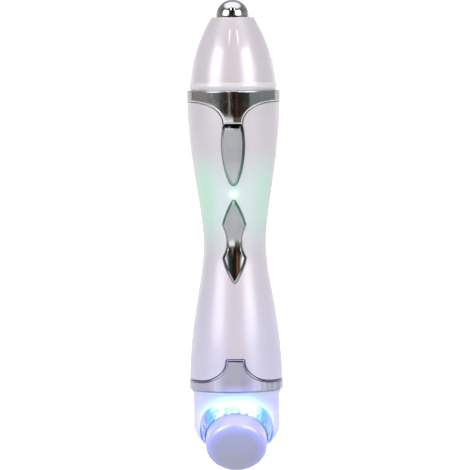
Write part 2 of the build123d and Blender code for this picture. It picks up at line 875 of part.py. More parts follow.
with BuildPart() as board_screws:
    with BuildSketch(front_plane(-board_back)):
        with Locations(*board_screw_places):
            Circle(board_screw_radius)
    extrude(amount=board_thickness + board_screw_bite)
    with BuildSketch(front_plane(-board_back)):
        with Locations(*board_screw_places):
            Circle(board_screw_head_radius)
    extrude(amount=-board_screw_head_height)
keep("board_screws", board_screws.part)

with BuildPart() as control_chip:
    with BuildSketch(front_plane(-board_back)):
        with Locations((0, -(board_screw_depths[0] + board_screw_depths[1]) / 2)):
            Rectangle(chip_width, chip_height)
    extrude(amount=-chip_thickness)
    chamfer(control_chip.faces().sort_by(Axis.Y)[-1].edges(), chip_chamfer)
keep("control_chip", control_chip.part)

with BuildPart() as boost_coil:
    with BuildSketch(front_plane(-board_back)):
        with Locations((0, -board_screw_depths[0] + coil_above_screw)):
            Circle(coil_radius)
            Circle(coil_hole_radius, mode=Mode.SUBTRACT)
    extrude(amount=-coil_thickness)
    coil_rims = boost_coil.edges().filter_by(GeomType.CIRCLE).group_by(Axis.Y)[-1]
    fillet(coil_rims.sort_by(SortBy.LENGTH)[-1], coil_edge_radius)
keep("boost_coil", boost_coil.part)

mode_switch_place = mode_key_widest
rocker_switch_places = [rocker_pivot_height + up * rocker_switch_reach for up in (1, -1)]


def switch_body(height, thickness):
    """Small push switch on the board's front, with the bore its plunger slides in."""
    with BuildPart() as switch:
        with BuildSketch(front_plane(-board_front)):
            with Locations((0, height)):
                RectangleRounded(switch_width, switch_width, switch_corner_radius)
        extrude(amount=thickness)
        with BuildSketch(front_plane(-board_front + thickness)):
            with Locations((0, height)):
                Circle(plunger_radius + plunger_clearance)
        extrude(amount=switch_floor - thickness, mode=Mode.SUBTRACT)
    return switch.part


def switch_plunger(height, thickness, travel):
    """Plunger that stands out of a switch and may sink by its travel."""
    foot = switch_floor + plunger_foot_gap + travel
    with BuildPart() as plunger:
        with BuildSketch(front_plane(-board_front + foot)):
            with Locations((0, height)):
                Circle(plunger_radius)
        extrude(amount=thickness + plunger_proud - foot)
    return plunger.part


rocker_travel = rocker_switch_reach * sin(radians(rocker_swing))
keep("mode_switch", switch_body(mode_switch_place, mode_switch_height))
keep("mode_plunger", switch_plunger(mode_switch_place, mode_switch_height, mode_key_travel))
for name, height in zip(("upper", "lower"), rocker_switch_places):
    keep(f"{name}_power_switch", switch_body(height, rocker_switch_height))
    keep(f"{name}_power_plunger", switch_plunger(height, rocker_switch_height, rocker_travel))

# Mode key: a leaf of the skin, a flange behind the wall and a stem down to its plunger
flange_front = shell_wall + key_flange_gap
mode_stem_end = -board_front + mode_switch_height + plunger_proud
mode_key_flange = skin_piece(
    mode_key_lines, flange_front, flange_front + key_flange_thickness, mode_key_corners, key_flange
)
with BuildPart() as mode_button:
    add(skin_piece(mode_key_lines, -key_proud, flange_front + key_flange_thickness / 2, mode_key_corners))
    add(mode_key_flange)
    with BuildSketch(front_plane(mode_stem_end)):
        with Locations((0, mode_switch_place)):
            Circle(mode_stem_radius)
    extrude(amount=body_radius(mode_switch_place) - shell_wall - mode_stem_end)
keep("mode_button", mode_button.part)

# Power rocker on its cross pin, with a nub over each power switch
nub_plane = -board_front + rocker_switch_height + plunger_proud + rocker_nub_gap
with BuildPart() as power_rocker:
    add(skin_piece(rocker_lines, -key_proud, key_depth, rocker_corners))
    with BuildSketch(Plane.YZ.offset(rocker_block_gap - ear_inner)):
        with Locations((-pin_plane_distance, rocker_pivot_height)):
            Rectangle(rocker_block_depth, rocker_block_height)
    extrude(amount=2 * (ear_inner - rocker_block_gap))
    with BuildSketch(front_plane(nub_plane)):
        with Locations(*[(0, height) for height in rocker_switch_places]):
            Circle(rocker_nub_radius)
    extrude(amount=body_radius(rocker_switch_places[0]) - key_depth / 2 - nub_plane)
    with BuildSketch(Plane.YZ.offset(-beyond)):
        with Locations((-pin_plane_distance, rocker_pivot_height)):
            Circle(rocker_pin_radius + rocker_pin_clearance)
    extrude(amount=2 * beyond, mode=Mode.SUBTRACT)
keep("power_rocker", power_rocker.part)

with BuildPart() as rocker_pin:
    with BuildSketch(Plane.YZ.offset(-ear_outer)):
        with Locations((-pin_plane_distance, rocker_pivot_height)):
            Circle(rocker_pin_radius)
    extrude(amount=2 * ear_outer)
keep("rocker_pin", rocker_pin.part)

# Green signal lamp on the board and its clear lens in the shell
lens_front = body_radius(led_height)
lens_back = lens_front - shell_wall - lens_behind_wall
with BuildPart() as signal_lens:
    with BuildSketch(front_plane(lens_back)):
        with Locations((0, led_height)):
            Circle(lens_radius)
    extrude(amount=lens_front - lens_back)
    fillet(signal_lens.edges().filter_by(GeomType.CIRCLE).group_by(Axis.Y)[0], lens_edge_radius)
keep("signal_lens", signal_lens.part)

lamp_height = lens_back - lens_gap + board_front
with BuildPart() as signal_lamp:
    with BuildSketch(front_plane(-board_front)):
        with Locations((0, led_height)):
            Circle(led_radius + led_rim_width)
    extrude(amount=led_rim_height)
    with BuildSketch(front_plane(-board_front)):
        with Locations((0, led_height)):
            Circle(led_radius)
    extrude(amount=lamp_height)
    fillet(signal_lamp.edges().filter_by(GeomType.CIRCLE).group_by(Axis.Y)[0], led_end_radius)
keep("signal_lamp", signal_lamp.part)

# Cap: a hollow ogive that slides over the neck, with a shelf that carries the dome tip
with BuildPart() as cap_hollow:
    with BuildSketch(Plane.XZ):
        with BuildLine():
            inner_side = cap_side(cap_wall)
            Line(inner_side @ 1, (0, cap_top))
            Line((0, cap_top), (0, cap_side_base))
            Line((0, cap_side_base), inner_side @ 0)
        make_face()
    revolve(axis=Axis.Z)
    split(bisect_by=Plane.XY.offset(cap_ceiling), keep=Keep.BOTTOM)
    split(bisect_by=Plane.XY.offset(cap_sleeve_top), keep=Keep.TOP)
    with BuildSketch(Plane.XY.offset(cap_base)):
        Circle(neck_radius + cap_sleeve_clearance)
    extrude(amount=cap_sleeve_top - cap_base)

with BuildPart() as top_cap:
    with BuildSketch(Plane.XZ):
        with BuildLine():
            cap_line = cap_side(0)
            Line(cap_line @ 1, (0, cap_top))
            Line((0, cap_top), (0, cap_side_base))
            Line((0, cap_side_base), cap_line @ 0)
        make_face()
    revolve(axis=Axis.Z)
    fillet(top_cap.edges().filter_by(GeomType.CIRCLE).group_by(Axis.Z)[-1], cap_top_edge_radius)
    with BuildSketch(Plane.XY.offset(cap_base)):
        Circle(cap_lip_radius)
    extrude(amount=cap_lip_height)
    cap_rims = top_cap.edges().filter_by(GeomType.CIRCLE)
    fillet(cap_rims.filter_by(lambda rim: rim.radius > cap_side_radius + fit_gap), cap_lip_edge_radius)
    add(cap_hollow.part, mode=Mode.SUBTRACT)
    with BuildSketch(Plane.XY.offset(cap_shelf_top)):
        Circle(tip_radius + tip_clearance)
    extrude(amount=beyond, mode=Mode.SUBTRACT)
    with BuildSketch(Plane.XY.offset(cap_ceiling)):
        Circle(tip_stem_radius + fit_gap)
    extrude(amount=cap_shelf_thickness, mode=Mode.SUBTRACT)
keep("top_cap", top_cap.part)

tip_centre = cap_top + tip_above_cap
tip_stem_bottom = cap_shelf_top - tip_stem_length
with BuildPart() as dome_tip:
    with BuildSketch(Plane.XZ):
        with BuildLine():
            dome = CenterArc((0, tip_centre), tip_radius, 0, 90)
            Polyline(
                dome @ 0,
                (tip_radius, cap_shelf_top),
                (tip_stem_radius, cap_shelf_top),
                (tip_stem_radius, tip_stem_bottom),
                (0, tip_stem_bottom),
                dome @ 1,
            )
        make_face()
    revolve(axis=Axis.Z)
keep("dome_tip", dome_tip.part)

tip_nut_bottom = cap_ceiling - tip_nut_height
with BuildPart() as tip_nut:
    with BuildSketch(Plane.XY.offset(tip_nut_bottom)):
        RegularPolygon(tip_nut_width / 2, 6, major_radius=False)
        Circle(tip_stem_radius, mode=Mode.SUBTRACT)
    extrude(amount=tip_nut_height)
keep("tip_nut", tip_nut.part)

# Spring in the cap that presses the contact disc on the cell, and the disc itself
disc_bottom = battery_top + contact_disc_gap
cap_spring_foot = disc_bottom + contact_thickness + cap_spring_wire
cap_spring_length = tip_nut_bottom - cap_spring_wire - cap_spring_foot
with BuildPart() as cap_spring:
    with BuildLine():
        cap_coil = Helix(
            pitch=cap_spring_length / cap_spring_turns,
            height=cap_spring_length,
            radius=cap_spring_radius,
            center=(0, 0, cap_spring_foot),
        )
    with BuildSketch(Plane(origin=cap_coil @ 0, z_dir=cap_coil % 0)):
        Circle(cap_spring_wire)
    sweep()
keep("cap_spring", cap_spring.part)

with BuildPart() as contact_disc:
    with BuildSketch(Plane.XY.offset(disc_bottom)):
        Circle(neck_bore_radius - contact_disc_clearance)
    extrude(amount=contact_thickness)
keep("contact_disc", contact_disc.part)

# Head: a short bullet-ended housing, bored obliquely for the plate and its ring of light
def head_bullet(radius, top, bottom_rise):
    """Side line of the head from its top down to the rounded end."""
    side = EllipticalCenterArc(
        (0, head_side_bottom), radius, head_end_height - bottom_rise, start_angle=270, arc_size=90
    )
    Polyline(side @ 1, (radius, top), (0, top), side @ 0)


with BuildPart() as head_hollow:
    with BuildSketch(Plane.XZ):
        with BuildLine():
            head_bullet(head_radius - head_wall, head_top - head_flange_height, head_wall)
        make_face()
    revolve(axis=Axis.Z)
    with BuildSketch(plate_plane(0)):
        Circle(ring_bore_radius + ring_sleeve_wall)
    extrude(amount=beyond, mode=Mode.SUBTRACT)

with BuildPart() as head_shell:
    with BuildSketch(Plane.XZ):
        with BuildLine():
            head_bullet(head_radius, head_top, 0)
        make_face()
    revolve(axis=Axis.Z)
    with BuildSketch(Plane.XY.offset(head_top)):
        Circle(head_flange_radius)
    extrude(amount=-head_flange_height)
    with BuildSketch(Plane.XY.offset(head_top)):
        Circle(head_spigot_radius)
    extrude(amount=head_spigot_length)
    with BuildSketch(Plane.XY.offset(spigot_rib_bottom)):
        Circle(spigot_rib_radius)
    extrude(amount=capture_rib_height)
    add(head_hollow.part, mode=Mode.SUBTRACT)
    with BuildSketch(Plane.XY.offset(head_top - head_flange_height)):
        Circle(head_bore_radius)
    extrude(amount=beyond, mode=Mode.SUBTRACT)
    with BuildSketch(plate_plane(ledge_front)):
        Circle(ring_bore_radius)
    extrude(amount=beyond, mode=Mode.SUBTRACT)
    with BuildSketch(plate_plane(-ledge_back)):
        Circle(ring_bore_radius - ledge_width)
    extrude(amount=beyond, mode=Mode.SUBTRACT)
keep("head_shell", head_shell.part)

# Carrier: an insulating cup on the ledge that holds the plate, the lamps and the motor
carrier_flange_radius = ring_bore_radius - carrier_clearance
carrier_flange_front = ledge_front + carrier_flange_thickness
carrier_bore_radius = carrier_boss_radius - carrier_wall
carrier_web_back = carrier_front - carrier_web_thickness
carrier_shoulder_radius = led_board_inner_radius + carrier_shoulder_width
with BuildPart() as plate_carrier:
    with BuildSketch(plate_plane(ledge_front)):
        Circle(carrier_flange_radius)
    extrude(amount=carrier_flange_thickness)
    with BuildSketch(plate_plane(carrier_flange_front)):
        Circle(carrier_shoulder_radius)
    extrude(amount=led_board_offset - carrier_flange_front)
    with BuildSketch(plate_plane(led_board_offset)):
        Circle(carrier_boss_radius)
    extrude(amount=carrier_front - led_board_offset)
    with BuildSketch(plate_plane(ledge_front)):
        Circle(carrier_bore_radius)
    extrude(amount=carrier_web_back - ledge_front, mode=Mode.SUBTRACT)
    with BuildSketch(plate_plane(carrier_web_back)):
        Circle(tip_stem_radius + fit_gap)
    extrude(amount=beyond, mode=Mode.SUBTRACT)
    with BuildSketch(plate_plane(ledge_front)):
        with Locations((0, carrier_shoulder_radius)):
            Rectangle(cable_width + 2 * cable_slot_gap, beyond, align=(Align.CENTER, Align.MIN))
    extrude(amount=carrier_flange_thickness, mode=Mode.SUBTRACT)
keep("plate_carrier", plate_carrier.part)

# Ring-shaped lamp board and its lamps, alike, so they share one node
led_circle_radius = (carrier_shoulder_radius + carrier_flange_radius) / 2
led_board_front = led_board_offset + led_board_thickness
with BuildPart() as led_board:
    with BuildSketch(plate_plane(led_board_offset)):
        Circle(carrier_flange_radius)
        Circle(led_board_inner_radius, mode=Mode.SUBTRACT)
    extrude(amount=led_board_thickness)
keep("led_board", led_board.part)

with BuildPart() as head_lamps:
    with BuildSketch(plate_plane(led_board_front)):
        with PolarLocations(led_circle_radius, head_led_count):
            Rectangle(head_led_size, head_led_size)
    extrude(amount=head_led_height)
keep("head_lamps", head_lamps.part)

# Clear light ring, a sleeve with a sloping nose and a scalloped front edge
ring_outer_radius = ring_bore_radius - fit_gap
ring_inner_radius = plate_radius + light_ring_plate_gap
ring_nose_radius = ring_inner_radius + light_ring_front_wall
with BuildPart() as light_ring:
    with BuildSketch(plate_section):
        with BuildLine():
            Polyline(
                (ring_inner_radius, light_ring_foot),
                (ring_outer_radius, light_ring_foot),
                (ring_outer_radius, light_ring_shoulder),
                (ring_nose_radius, light_ring_front),
                (ring_inner_radius, light_ring_front),
                close=True,
            )
        make_face()
    revolve(axis=plate_axis)
    with BuildSketch(plate_plane(light_ring_front - scallop_length)):
        with PolarLocations(ring_nose_radius + scallop_centre_out, scallop_count):
            Circle(scallop_radius)
    extrude(amount=beyond, mode=Mode.SUBTRACT)
keep("light_ring", light_ring.part)

# Treatment plate: a polished metal drum, closed at the front, with a threaded stud inside
plate_inner_face = plate_face - plate_face_thickness
with BuildPart() as treatment_plate:
    with BuildSketch(plate_section):
        with BuildLine():
            rim = CenterArc(
                (plate_radius - plate_rim_radius, plate_face - plate_rim_radius), plate_rim_radius, 0, 90
            )
            Polyline(
                rim @ 0,
                (plate_back_radius, plate_back),
                (plate_back_radius - plate_wall, plate_back),
                (plate_back_radius - plate_wall, plate_inner_face),
                (tip_stem_radius, plate_inner_face),
                (tip_stem_radius, plate_inner_face - plate_stud_length),
                (0, plate_inner_face - plate_stud_length),
                (0, plate_face),
                rim @ 1,
            )
        make_face()
    revolve(axis=plate_axis)
keep("treatment_plate", treatment_plate.part)

with BuildPart() as plate_nut:
    with BuildSketch(plate_plane(carrier_web_back)):
        RegularPolygon(tip_nut_width / 2, 6, major_radius=False)
        Circle(tip_stem_radius, mode=Mode.SUBTRACT)
    extrude(amount=-tip_nut_height)
keep("plate_nut", plate_nut.part)

# Vibration motor across the carrier's cup, in its bracket, with a half-round weight
motor_plane = Plane(
    origin=plate_origin + plate_direction * motor_offset, x_dir=(0, 0, -1), z_dir=(1, 0, 0)
)


def along_motor(distance):
    """Plane square to the motor's shaft, at a distance to the right of the middle."""
    return motor_plane.offset(distance)


motor_left_end = motor_end_from_axis - motor_length
motor_bore_end = motor_end_from_axis - motor_bore_depth
with BuildPart() as vibration_motor:
    with BuildSketch(along_motor(motor_left_end)):
        Circle(motor_radius)
    extrude(amount=motor_length)
    with BuildSketch(along_motor(motor_bore_end)):
        Circle(motor_shaft_radius + motor_shaft_clearance)
    extrude(amount=motor_bore_depth, mode=Mode.SUBTRACT)
    fillet(vibration_motor.edges().filter_by(GeomType.CIRCLE).group_by(Axis.X)[0], motor_edge_radius)
keep("vibration_motor", vibration_motor.part)

with BuildPart() as motor_shaft:
    with BuildSketch(along_motor(motor_bore_end + motor_shaft_end_gap)):
        Circle(motor_shaft_radius)
    extrude(amount=motor_bore_depth - motor_shaft_end_gap + motor_shaft_reach)
keep("motor_shaft", motor_shaft.part)

with BuildPart() as motor_weight:
    with BuildSketch(along_motor(motor_end_from_axis + motor_weight_gap)):
        Circle(motor_weight_radius)
        with Locations((-motor_weight_radius - motor_weight_flat_offset, 0)):
            Rectangle(2 * motor_weight_radius, 3 * motor_weight_radius, mode=Mode.SUBTRACT)
        Circle(motor_shaft_radius, mode=Mode.SUBTRACT)
    extrude(amount=motor_weight_length)
keep("motor_weight", motor_weight.part)

bracket_disc_back = motor_offset - motor_radius - bracket_below_motor - bracket_disc_thickness
with BuildPart() as motor_bracket:
    with BuildSketch(plate_plane(bracket_disc_back)):
        Circle(carrier_bore_radius - fit_gap)
    extrude(amount=bracket_disc_thickness)
    with BuildSketch(plate_plane(bracket_disc_back)):
        with Locations((motor_left_end + motor_length / 2 - bracket_cradle_shift, 0)):
            Rectangle(bracket_cradle_length, bracket_cradle_width)
    extrude(amount=motor_offset - bracket_disc_back)
    with BuildSketch(along_motor(-beyond)):
        Circle(motor_radius)
    extrude(amount=2 * beyond, mode=Mode.SUBTRACT)
keep("motor_bracket", motor_bracket.part)

# Ribbon cable from the foot of the main board to the lamp board
with BuildPart() as ribbon_cable:
    lamp_board_back = plate_plane(led_board_offset - cable_board_gap)
    ledge_foot = plate_plane(-ledge_back)
    end_reach = ring_bore_radius - cable_end_inside_bore
    ledge_reach = ring_bore_radius - cable_ledge_inside_bore
    behind_lamp_board = lamp_board_back.origin + lamp_board_back.y_dir * end_reach
    through_ledge = ledge_foot.origin + ledge_foot.y_dir * ledge_reach
    cable_height = board_back + cable_board_gap
    with BuildSketch(Plane.YZ.offset(-cable_width / 2)):
        with BuildLine():
            route = FilletPolyline(
                (cable_height, cable_start_above_board_end - board_bottom_depth),
                (cable_height, -board_bottom_depth - cable_drop),
                (through_ledge.Y, through_ledge.Z),
                (behind_lamp_board.Y, behind_lamp_board.Z),
                radius=cable_bend,
            )
            offset(amount=cable_thickness / 2, side=Side.BOTH)
        make_face()
    extrude(amount=cable_width)
keep("ribbon_cable", ribbon_cable.part)

os.makedirs("parts", exist_ok=True)
for name, part in nodes.items():
    export_step(part, f"parts/{name}.step")
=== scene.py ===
from math import atan2, cos, pi, radians, sin, sqrt

import bmesh
import bpy
import numpy as np
from mathutils import Matrix, Vector
from mathutils.geometry import delaunay_2d_cdt


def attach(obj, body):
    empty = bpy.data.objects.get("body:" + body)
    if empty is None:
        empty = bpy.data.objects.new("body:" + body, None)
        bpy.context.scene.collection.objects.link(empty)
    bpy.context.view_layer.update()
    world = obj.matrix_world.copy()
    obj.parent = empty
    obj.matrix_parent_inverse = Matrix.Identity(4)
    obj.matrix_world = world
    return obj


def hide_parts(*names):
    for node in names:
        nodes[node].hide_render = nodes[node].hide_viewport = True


# Hourglass facial massager: pearl shell, chrome trim and keys, a lit clear ring round an oblique metal plate.
# Sizes are in millimetres and turned to metres when a mesh is made. The finishes, the lights and the
# camera are in metres.

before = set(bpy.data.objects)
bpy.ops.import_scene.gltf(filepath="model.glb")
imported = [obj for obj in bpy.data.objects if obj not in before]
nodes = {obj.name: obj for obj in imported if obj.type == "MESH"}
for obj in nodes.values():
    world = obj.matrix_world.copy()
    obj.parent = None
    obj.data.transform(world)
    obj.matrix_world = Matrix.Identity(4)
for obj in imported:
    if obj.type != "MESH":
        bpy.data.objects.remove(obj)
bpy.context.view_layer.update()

MM = 0.001

# The body's side line: height and radius, measured from the outline
SIDE = [
    (-49.4, 17.35), (-45.0, 17.16), (-35.6, 16.48), (-22.2, 14.67), (-8.9, 12.44), (0.0, 11.65),
    (10.8, 12.33), (24.6, 14.42), (39.0, 16.42), (46.9, 17.07), (54.1, 17.3),
]
UPPER_BAND = 54.1, 58.1, 17.45
LOWER_BAND = -53.2, -49.4, 17.495
BAND_BORE = 15.95
CAP_BASE, CAP_TOP = 58.25, 85.3
TIP_CENTRE, TIP_RADIUS, DOME_SHELF = 85.7, 6.14, 82.1
HEAD_TOP, HEAD_SIDE_END, HEAD_END = -53.4, -66.1, -78.0
HEAD_SIDE_TOP = HEAD_TOP - 1.12
HEAD_RADIUS, HEAD_FLANGE_RADIUS = 16.1, 16.6
RING_BORE = 13.6
PLATE_TILT = radians(36)
PLATE_ACROSS = Vector((1, 0, 0))
PLATE_UP = Vector((0, -sin(PLATE_TILT), cos(PLATE_TILT)))
PLATE_AXIS = Vector((0, -cos(PLATE_TILT), -sin(PLATE_TILT)))
PLATE_FOOT = Vector((0, 0, -61.9))
PLATE_FACE, PLATE_RADIUS = 21.2, 11.35
LAMP_HEIGHT = 20.0
LAMP = 0, -13.4, LAMP_HEIGHT
MIRROR = np.array([-1, 1])
SHARP = radians(38)
MERGED = 0.002


# Curves and outlines ----

def smooth_through(points):
    """Natural cubic curve through (height, radius) points, as a function of the height."""
    x, y = np.array(points, float).T
    gap = np.diff(x)
    slope = np.diff(y) / gap
    count = len(x)
    system, right = np.eye(count), np.zeros(count)
    for i in range(1, count - 1):
        system[i, i - 1:i + 2] = gap[i - 1], 2 * (gap[i - 1] + gap[i]), gap[i]
        right[i] = 6 * (slope[i] - slope[i - 1])
    bend = np.linalg.solve(system, right)

    def radius(height):
        h = np.clip(height, x[0], x[-1])
        i = np.clip(np.searchsorted(x, h) - 1, 0, count - 2)
        a, b = x[i + 1] - h, h - x[i]
        return (
            (bend[i] * a**3 + bend[i + 1] * b**3) / (6 * gap[i])
            + (y[i] / gap[i] - bend[i] * gap[i] / 6) * a
            + (y[i + 1] / gap[i] - bend[i + 1] * gap[i] / 6) * b
        )

    return radius


body_radius = smooth_through(SIDE)


def rounded(corners, steps):
    """Open line through (x, y, radius) corners, each rounded with an arc of so many steps."""
    points = [np.array(c[:2], float) for c in corners]
    line = []
    for i, corner in enumerate(corners):
        radius = corner[2] if len(corner) > 2 else 0
        if not radius or i in (0, len(corners) - 1):
            line.append(points[i])
            continue
        before, after = points[i - 1] - points[i], points[i + 1] - points[i]
        before, after = before / np.linalg.norm(before), after / np.linalg.norm(after)
        half = np.arccos(np.clip(before @ after, -1, 1)) / 2
        reach = radius / np.tan(half)
        middle = before + after
        centre = points[i] + middle / np.linalg.norm(middle) * radius / np.sin(half)
        start, end = points[i] + before * reach - centre, points[i] + after * reach - centre
        turn = atan2(start[0] * end[1] - start[1] * end[0], start @ end)
        for k in range(steps + 1):
            a = turn * k / steps
            x = start[0] * cos(a) - start[1] * sin(a)
            line.append(centre + np.array([x, start[0] * sin(a) + start[1] * cos(a)]))
    return np.array(line)


def arc_through(start, middle, end, steps=40):
    """Points of the circle arc through three points."""
    (ax, ay), (bx, by), (cx, cy) = start, middle, end
    d = 2 * (ax * (by - cy) + bx * (cy - ay) + cx * (ay - by))
    ux = ((ax**2 + ay**2) * (by - cy) + (bx**2 + by**2) * (cy - ay) + (cx**2 + cy**2) * (ay - by)) / d
    uy = ((ax**2 + ay**2) * (cx - bx) + (bx**2 + by**2) * (ax - cx) + (cx**2 + cy**2) * (bx - ax)) / d
    radius = sqrt((ax - ux)**2 + (ay - uy)**2)
    first, between, last = (atan2(y - uy, x - ux) for x, y in (start, middle, end))
    sweep = (last - first) % (2 * pi)
    if (between - first) % (2 * pi) > sweep:
        sweep -= 2 * pi
    turns = [first + sweep * k / steps for k in range(steps + 1)]
    return [(ux + radius * cos(a), uy + radius * sin(a)) for a in turns]


def resampled(line, step, closed=True):
    """The same line with its points evenly spaced."""
    line = np.array(line, float)
    if closed:
        line = np.vstack([line, line[:1]])
    lengths = np.linalg.norm(np.diff(line, axis=0), axis=1)
    along = np.concatenate([[0], np.cumsum(lengths)])
    count = max(int(along[-1] / step), 3)
    at = np.linspace(0, along[-1], count + 1)
    points = np.column_stack([np.interp(at, along, line[:, 0]), np.interp(at, along, line[:, 1])])
    return points[:-1] if closed else points


def softened(line, corners, step=0.12):
    """Closed line with its (x, y, width) corners rounded off."""
    points = resampled(line, step)
    result = points.copy()
    for x, y, width in corners:
        reach = max(int(width / step), 1)
        weights = np.hanning(2 * reach + 3)[1:-1]
        weights /= weights.sum()
        mean = sum(w * np.roll(points, reach - k, axis=0) for k, w in enumerate(weights))
        near = np.linalg.norm(points - np.array([x, y]), axis=1)
        share = np.clip((2.2 * width - near) / (0.8 * width), 0, 1)[:, None]
        result = result * (1 - share) + mean * share
    return resampled(result, step * 1.5)


def tip_rounded(line, radius, up):
    """Even outline with its tip on the middle line, upper or lower, turned to an arc of a radius."""
    tip = up * (up * line[:, 1]).max()
    near, far = 0.0, 6.0 * radius
    for _ in range(40):
        back = (near + far) / 2
        gap = np.hypot(line[:, 0], line[:, 1] - (tip - up * back)).min()
        near, far = (back, far) if gap < radius else (near, back)
    middle = tip - up * back
    touch = line[np.hypot(line[:, 0], line[:, 1] - middle).argmin()]
    reach = atan2(abs(touch[0]), up * (touch[1] - middle))
    keep = up * line[:, 1] < up * touch[1] - 1e-6
    first = int(np.argmax(keep & ~np.roll(keep, 1)))
    rest = np.roll(line, -first, axis=0)[:int(keep.sum())]
    start = -reach if rest[-1][0] < 0 else reach
    arc = [(radius * sin(a), middle + up * radius * cos(a)) for a in np.linspace(start, -start, 15)]
    return np.vstack([rest, arc])


def anticlockwise(line):
    x, y = line[:, 0], line[:, 1]
    area = np.sum(x * np.roll(y, -1) - y * np.roll(x, -1))
    return line if area > 0 else line[::-1]


def grown(line, amount):
    """Closed line moved outwards by an amount."""
    line = anticlockwise(line)
    along = np.roll(line, -1, axis=0) - np.roll(line, 1, axis=0)
    along /= np.linalg.norm(along, axis=1)[:, None]
    return line + np.column_stack([along[:, 1], -along[:, 0]]) * amount


def mode_key_outline():
    """Leaf shape of the mode key, flat at the top and pointed below."""
    corner, widest, low, point = (3.55, 45.5), (4.21, 38.4), (3.2, 29.4), (0, 21.6)
    right = arc_through(corner, widest, low) + arc_through(low, (2.012, 25.6), point)[1:]
    left = [(-x, y) for x, y in reversed(right)]
    line = softened(right + left[1:], [(side * corner[0], corner[1], 0.6) for side in (1, -1)])
    return anticlockwise(tip_rounded(line, 1.5, -1))


def rocker_outline():
    """Two diamonds joined at a hollow waist."""
    pivot, corner, reach, tip, waist = 2.3, 4.35, 6.05, 15.9, 2.6
    line = []
    for side in (1, -1):
        fullest = side * (corner / 2 + 0.45), pivot + (reach + tip) / 2 + 0.22
        high, low = ((side * corner, pivot + up * reach) for up in (1, -1))
        upper = arc_through((0, pivot + tip), fullest, high)
        hollow = arc_through(high, (side * waist, pivot), low)
        lower = [(x, 2 * pivot - y) for x, y in reversed(upper)]
        half = upper + hollow[1:] + lower[1:]
        line += half if side > 0 else list(reversed(half))[1:-1]
    corners = [(side * corner, pivot + up * reach, 0.35) for side in (1, -1) for up in (1, -1)]
    line = tip_rounded(tip_rounded(softened(line, corners), 0.7, 1), 0.7, -1)
    return anticlockwise(line)


def tongue_side(shoulder, end, straight, half_width, flare, gap=0.0):
    """Right edge of a band's tongue, from the shoulder in to the middle of its end, widened by a gap."""
    up = 1 if shoulder > end else -1
    start = end + up * straight
    rise = abs(shoulder - up * gap - start)
    turns = np.linspace(0, pi / 2, 40)
    curve = [(half_width + flare - (flare - gap) * sin(a), start + up * rise * cos(a)) for a in turns]
    tip = end - up * gap
    inner = half_width + gap
    return curve + [(inner, tip + up * 0.5), (inner - 0.15, tip + up * 0.15), (inner - 0.5, tip)]


UPPER_TONGUE = dict(shoulder=54.1, end=45.9, straight=0.6, half_width=3.6, flare=12.4)
LOWER_TONGUE = dict(shoulder=-49.4, end=-41.2, straight=0.7, half_width=3.5, flare=10.5)


# Meshes ----

def new_object(name, data):
    made = bpy.data.objects.new(name, data)
    bpy.context.scene.collection.objects.link(made)
    return made


def colour(hex_code):
    """sRGB hex colour as linear values, opaque."""
    parts = [int(hex_code[k:k + 2], 16) / 255 for k in (1, 3, 5)]
    return tuple(v / 12.92 if v <= 0.04045 else ((v + 0.055) / 1.055) ** 2.4 for v in parts) + (1.0,)


def add_node(tree, kind, settings=None, output=0, **inputs):
    """Adds a node with its settings and links, and gives the (node, output) pair that others link from.

    An input goes by its name, with _ for a blank, or by its number after a _, and takes a value, a hex
    colour or such a pair. A ramp's settings are its interpolation and its (place, hex colour) stops."""
    node = tree.nodes.new(kind)
    for key, value in (settings or {}).items():
        if key != "stops":
            setattr(node.color_ramp if key == "interpolation" else node, key, value)
            continue
        elements = node.color_ramp.elements
        while len(elements) < len(value):
            elements.new(0.5)
        for element, (at, shade) in zip(elements, value):
            element.position, element.color = at, colour(shade)
    for key, value in inputs.items():
        socket = node.inputs[int(key[1:]) if key[0] == "_" else key.replace("_", " ")]
        if isinstance(value, tuple) and hasattr(value[0], "outputs"):
            tree.links.new(value[0].outputs[value[1]], socket)
        else:
            socket.default_value = colour(value) if isinstance(value, str) else value
    return node, output


def raw_mesh(name, points, faces, material):
    """Mesh from points in millimetres."""
    mesh = bpy.data.meshes.new(name)
    mesh.from_pydata([tuple(float(v) * MM for v in point) for point in points], [], faces)
    mesh.materials.append(material)
    return mesh


def settled(mesh, name):
    """Object for a finished mesh: doubles merged, smooth but for its sharp edges."""
    shape = bmesh.new()
    shape.from_mesh(mesh)
    bmesh.ops.remove_doubles(shape, verts=shape.verts, dist=MERGED * MM)
    bmesh.ops.dissolve_degenerate(shape, dist=MERGED / 2 * MM, edges=shape.edges)
    for face in shape.faces:
        face.smooth = True
    for edge in shape.edges:
        edge.smooth = len(edge.link_faces) != 2 or edge.calc_face_angle(0) < SHARP
    shape.to_mesh(mesh)
    shape.free()
    return new_object(name, mesh)


def new_mesh(name, points, faces, material):
    return settled(raw_mesh(name, points, faces, material), name)


def outward(piece):
    """Turns the faces of a closed piece outwards."""
    shape = bmesh.new()
    shape.from_mesh(piece.data)
    bmesh.ops.recalc_face_normals(shape, faces=shape.faces)
    shape.to_mesh(piece.data)
    shape.free()
    return piece


def at_turn(radius, turn, height):
    """Point at a radius and a turn from straight in front."""
    return radius * sin(turn), -radius * cos(turn), height


def bent(radius, turn, height):
    """The same for whole arrays."""
    return np.column_stack([radius * np.sin(turn), -radius * np.cos(turn), height])


def rings(rows, closed_round=True, closed_along=False):
    """Points and faces of a skin over rows of points that all have the same count."""
    count = len(rows[0])
    faces = []
    for r in range(len(rows) if closed_along else len(rows) - 1):
        low, high = r * count, (r + 1) % len(rows) * count
        for k in range(count if closed_round else count - 1):
            n = (k + 1) % count
            faces.append((low + k, low + n, high + n, high + k))
    return [p for row in rows for p in row], faces


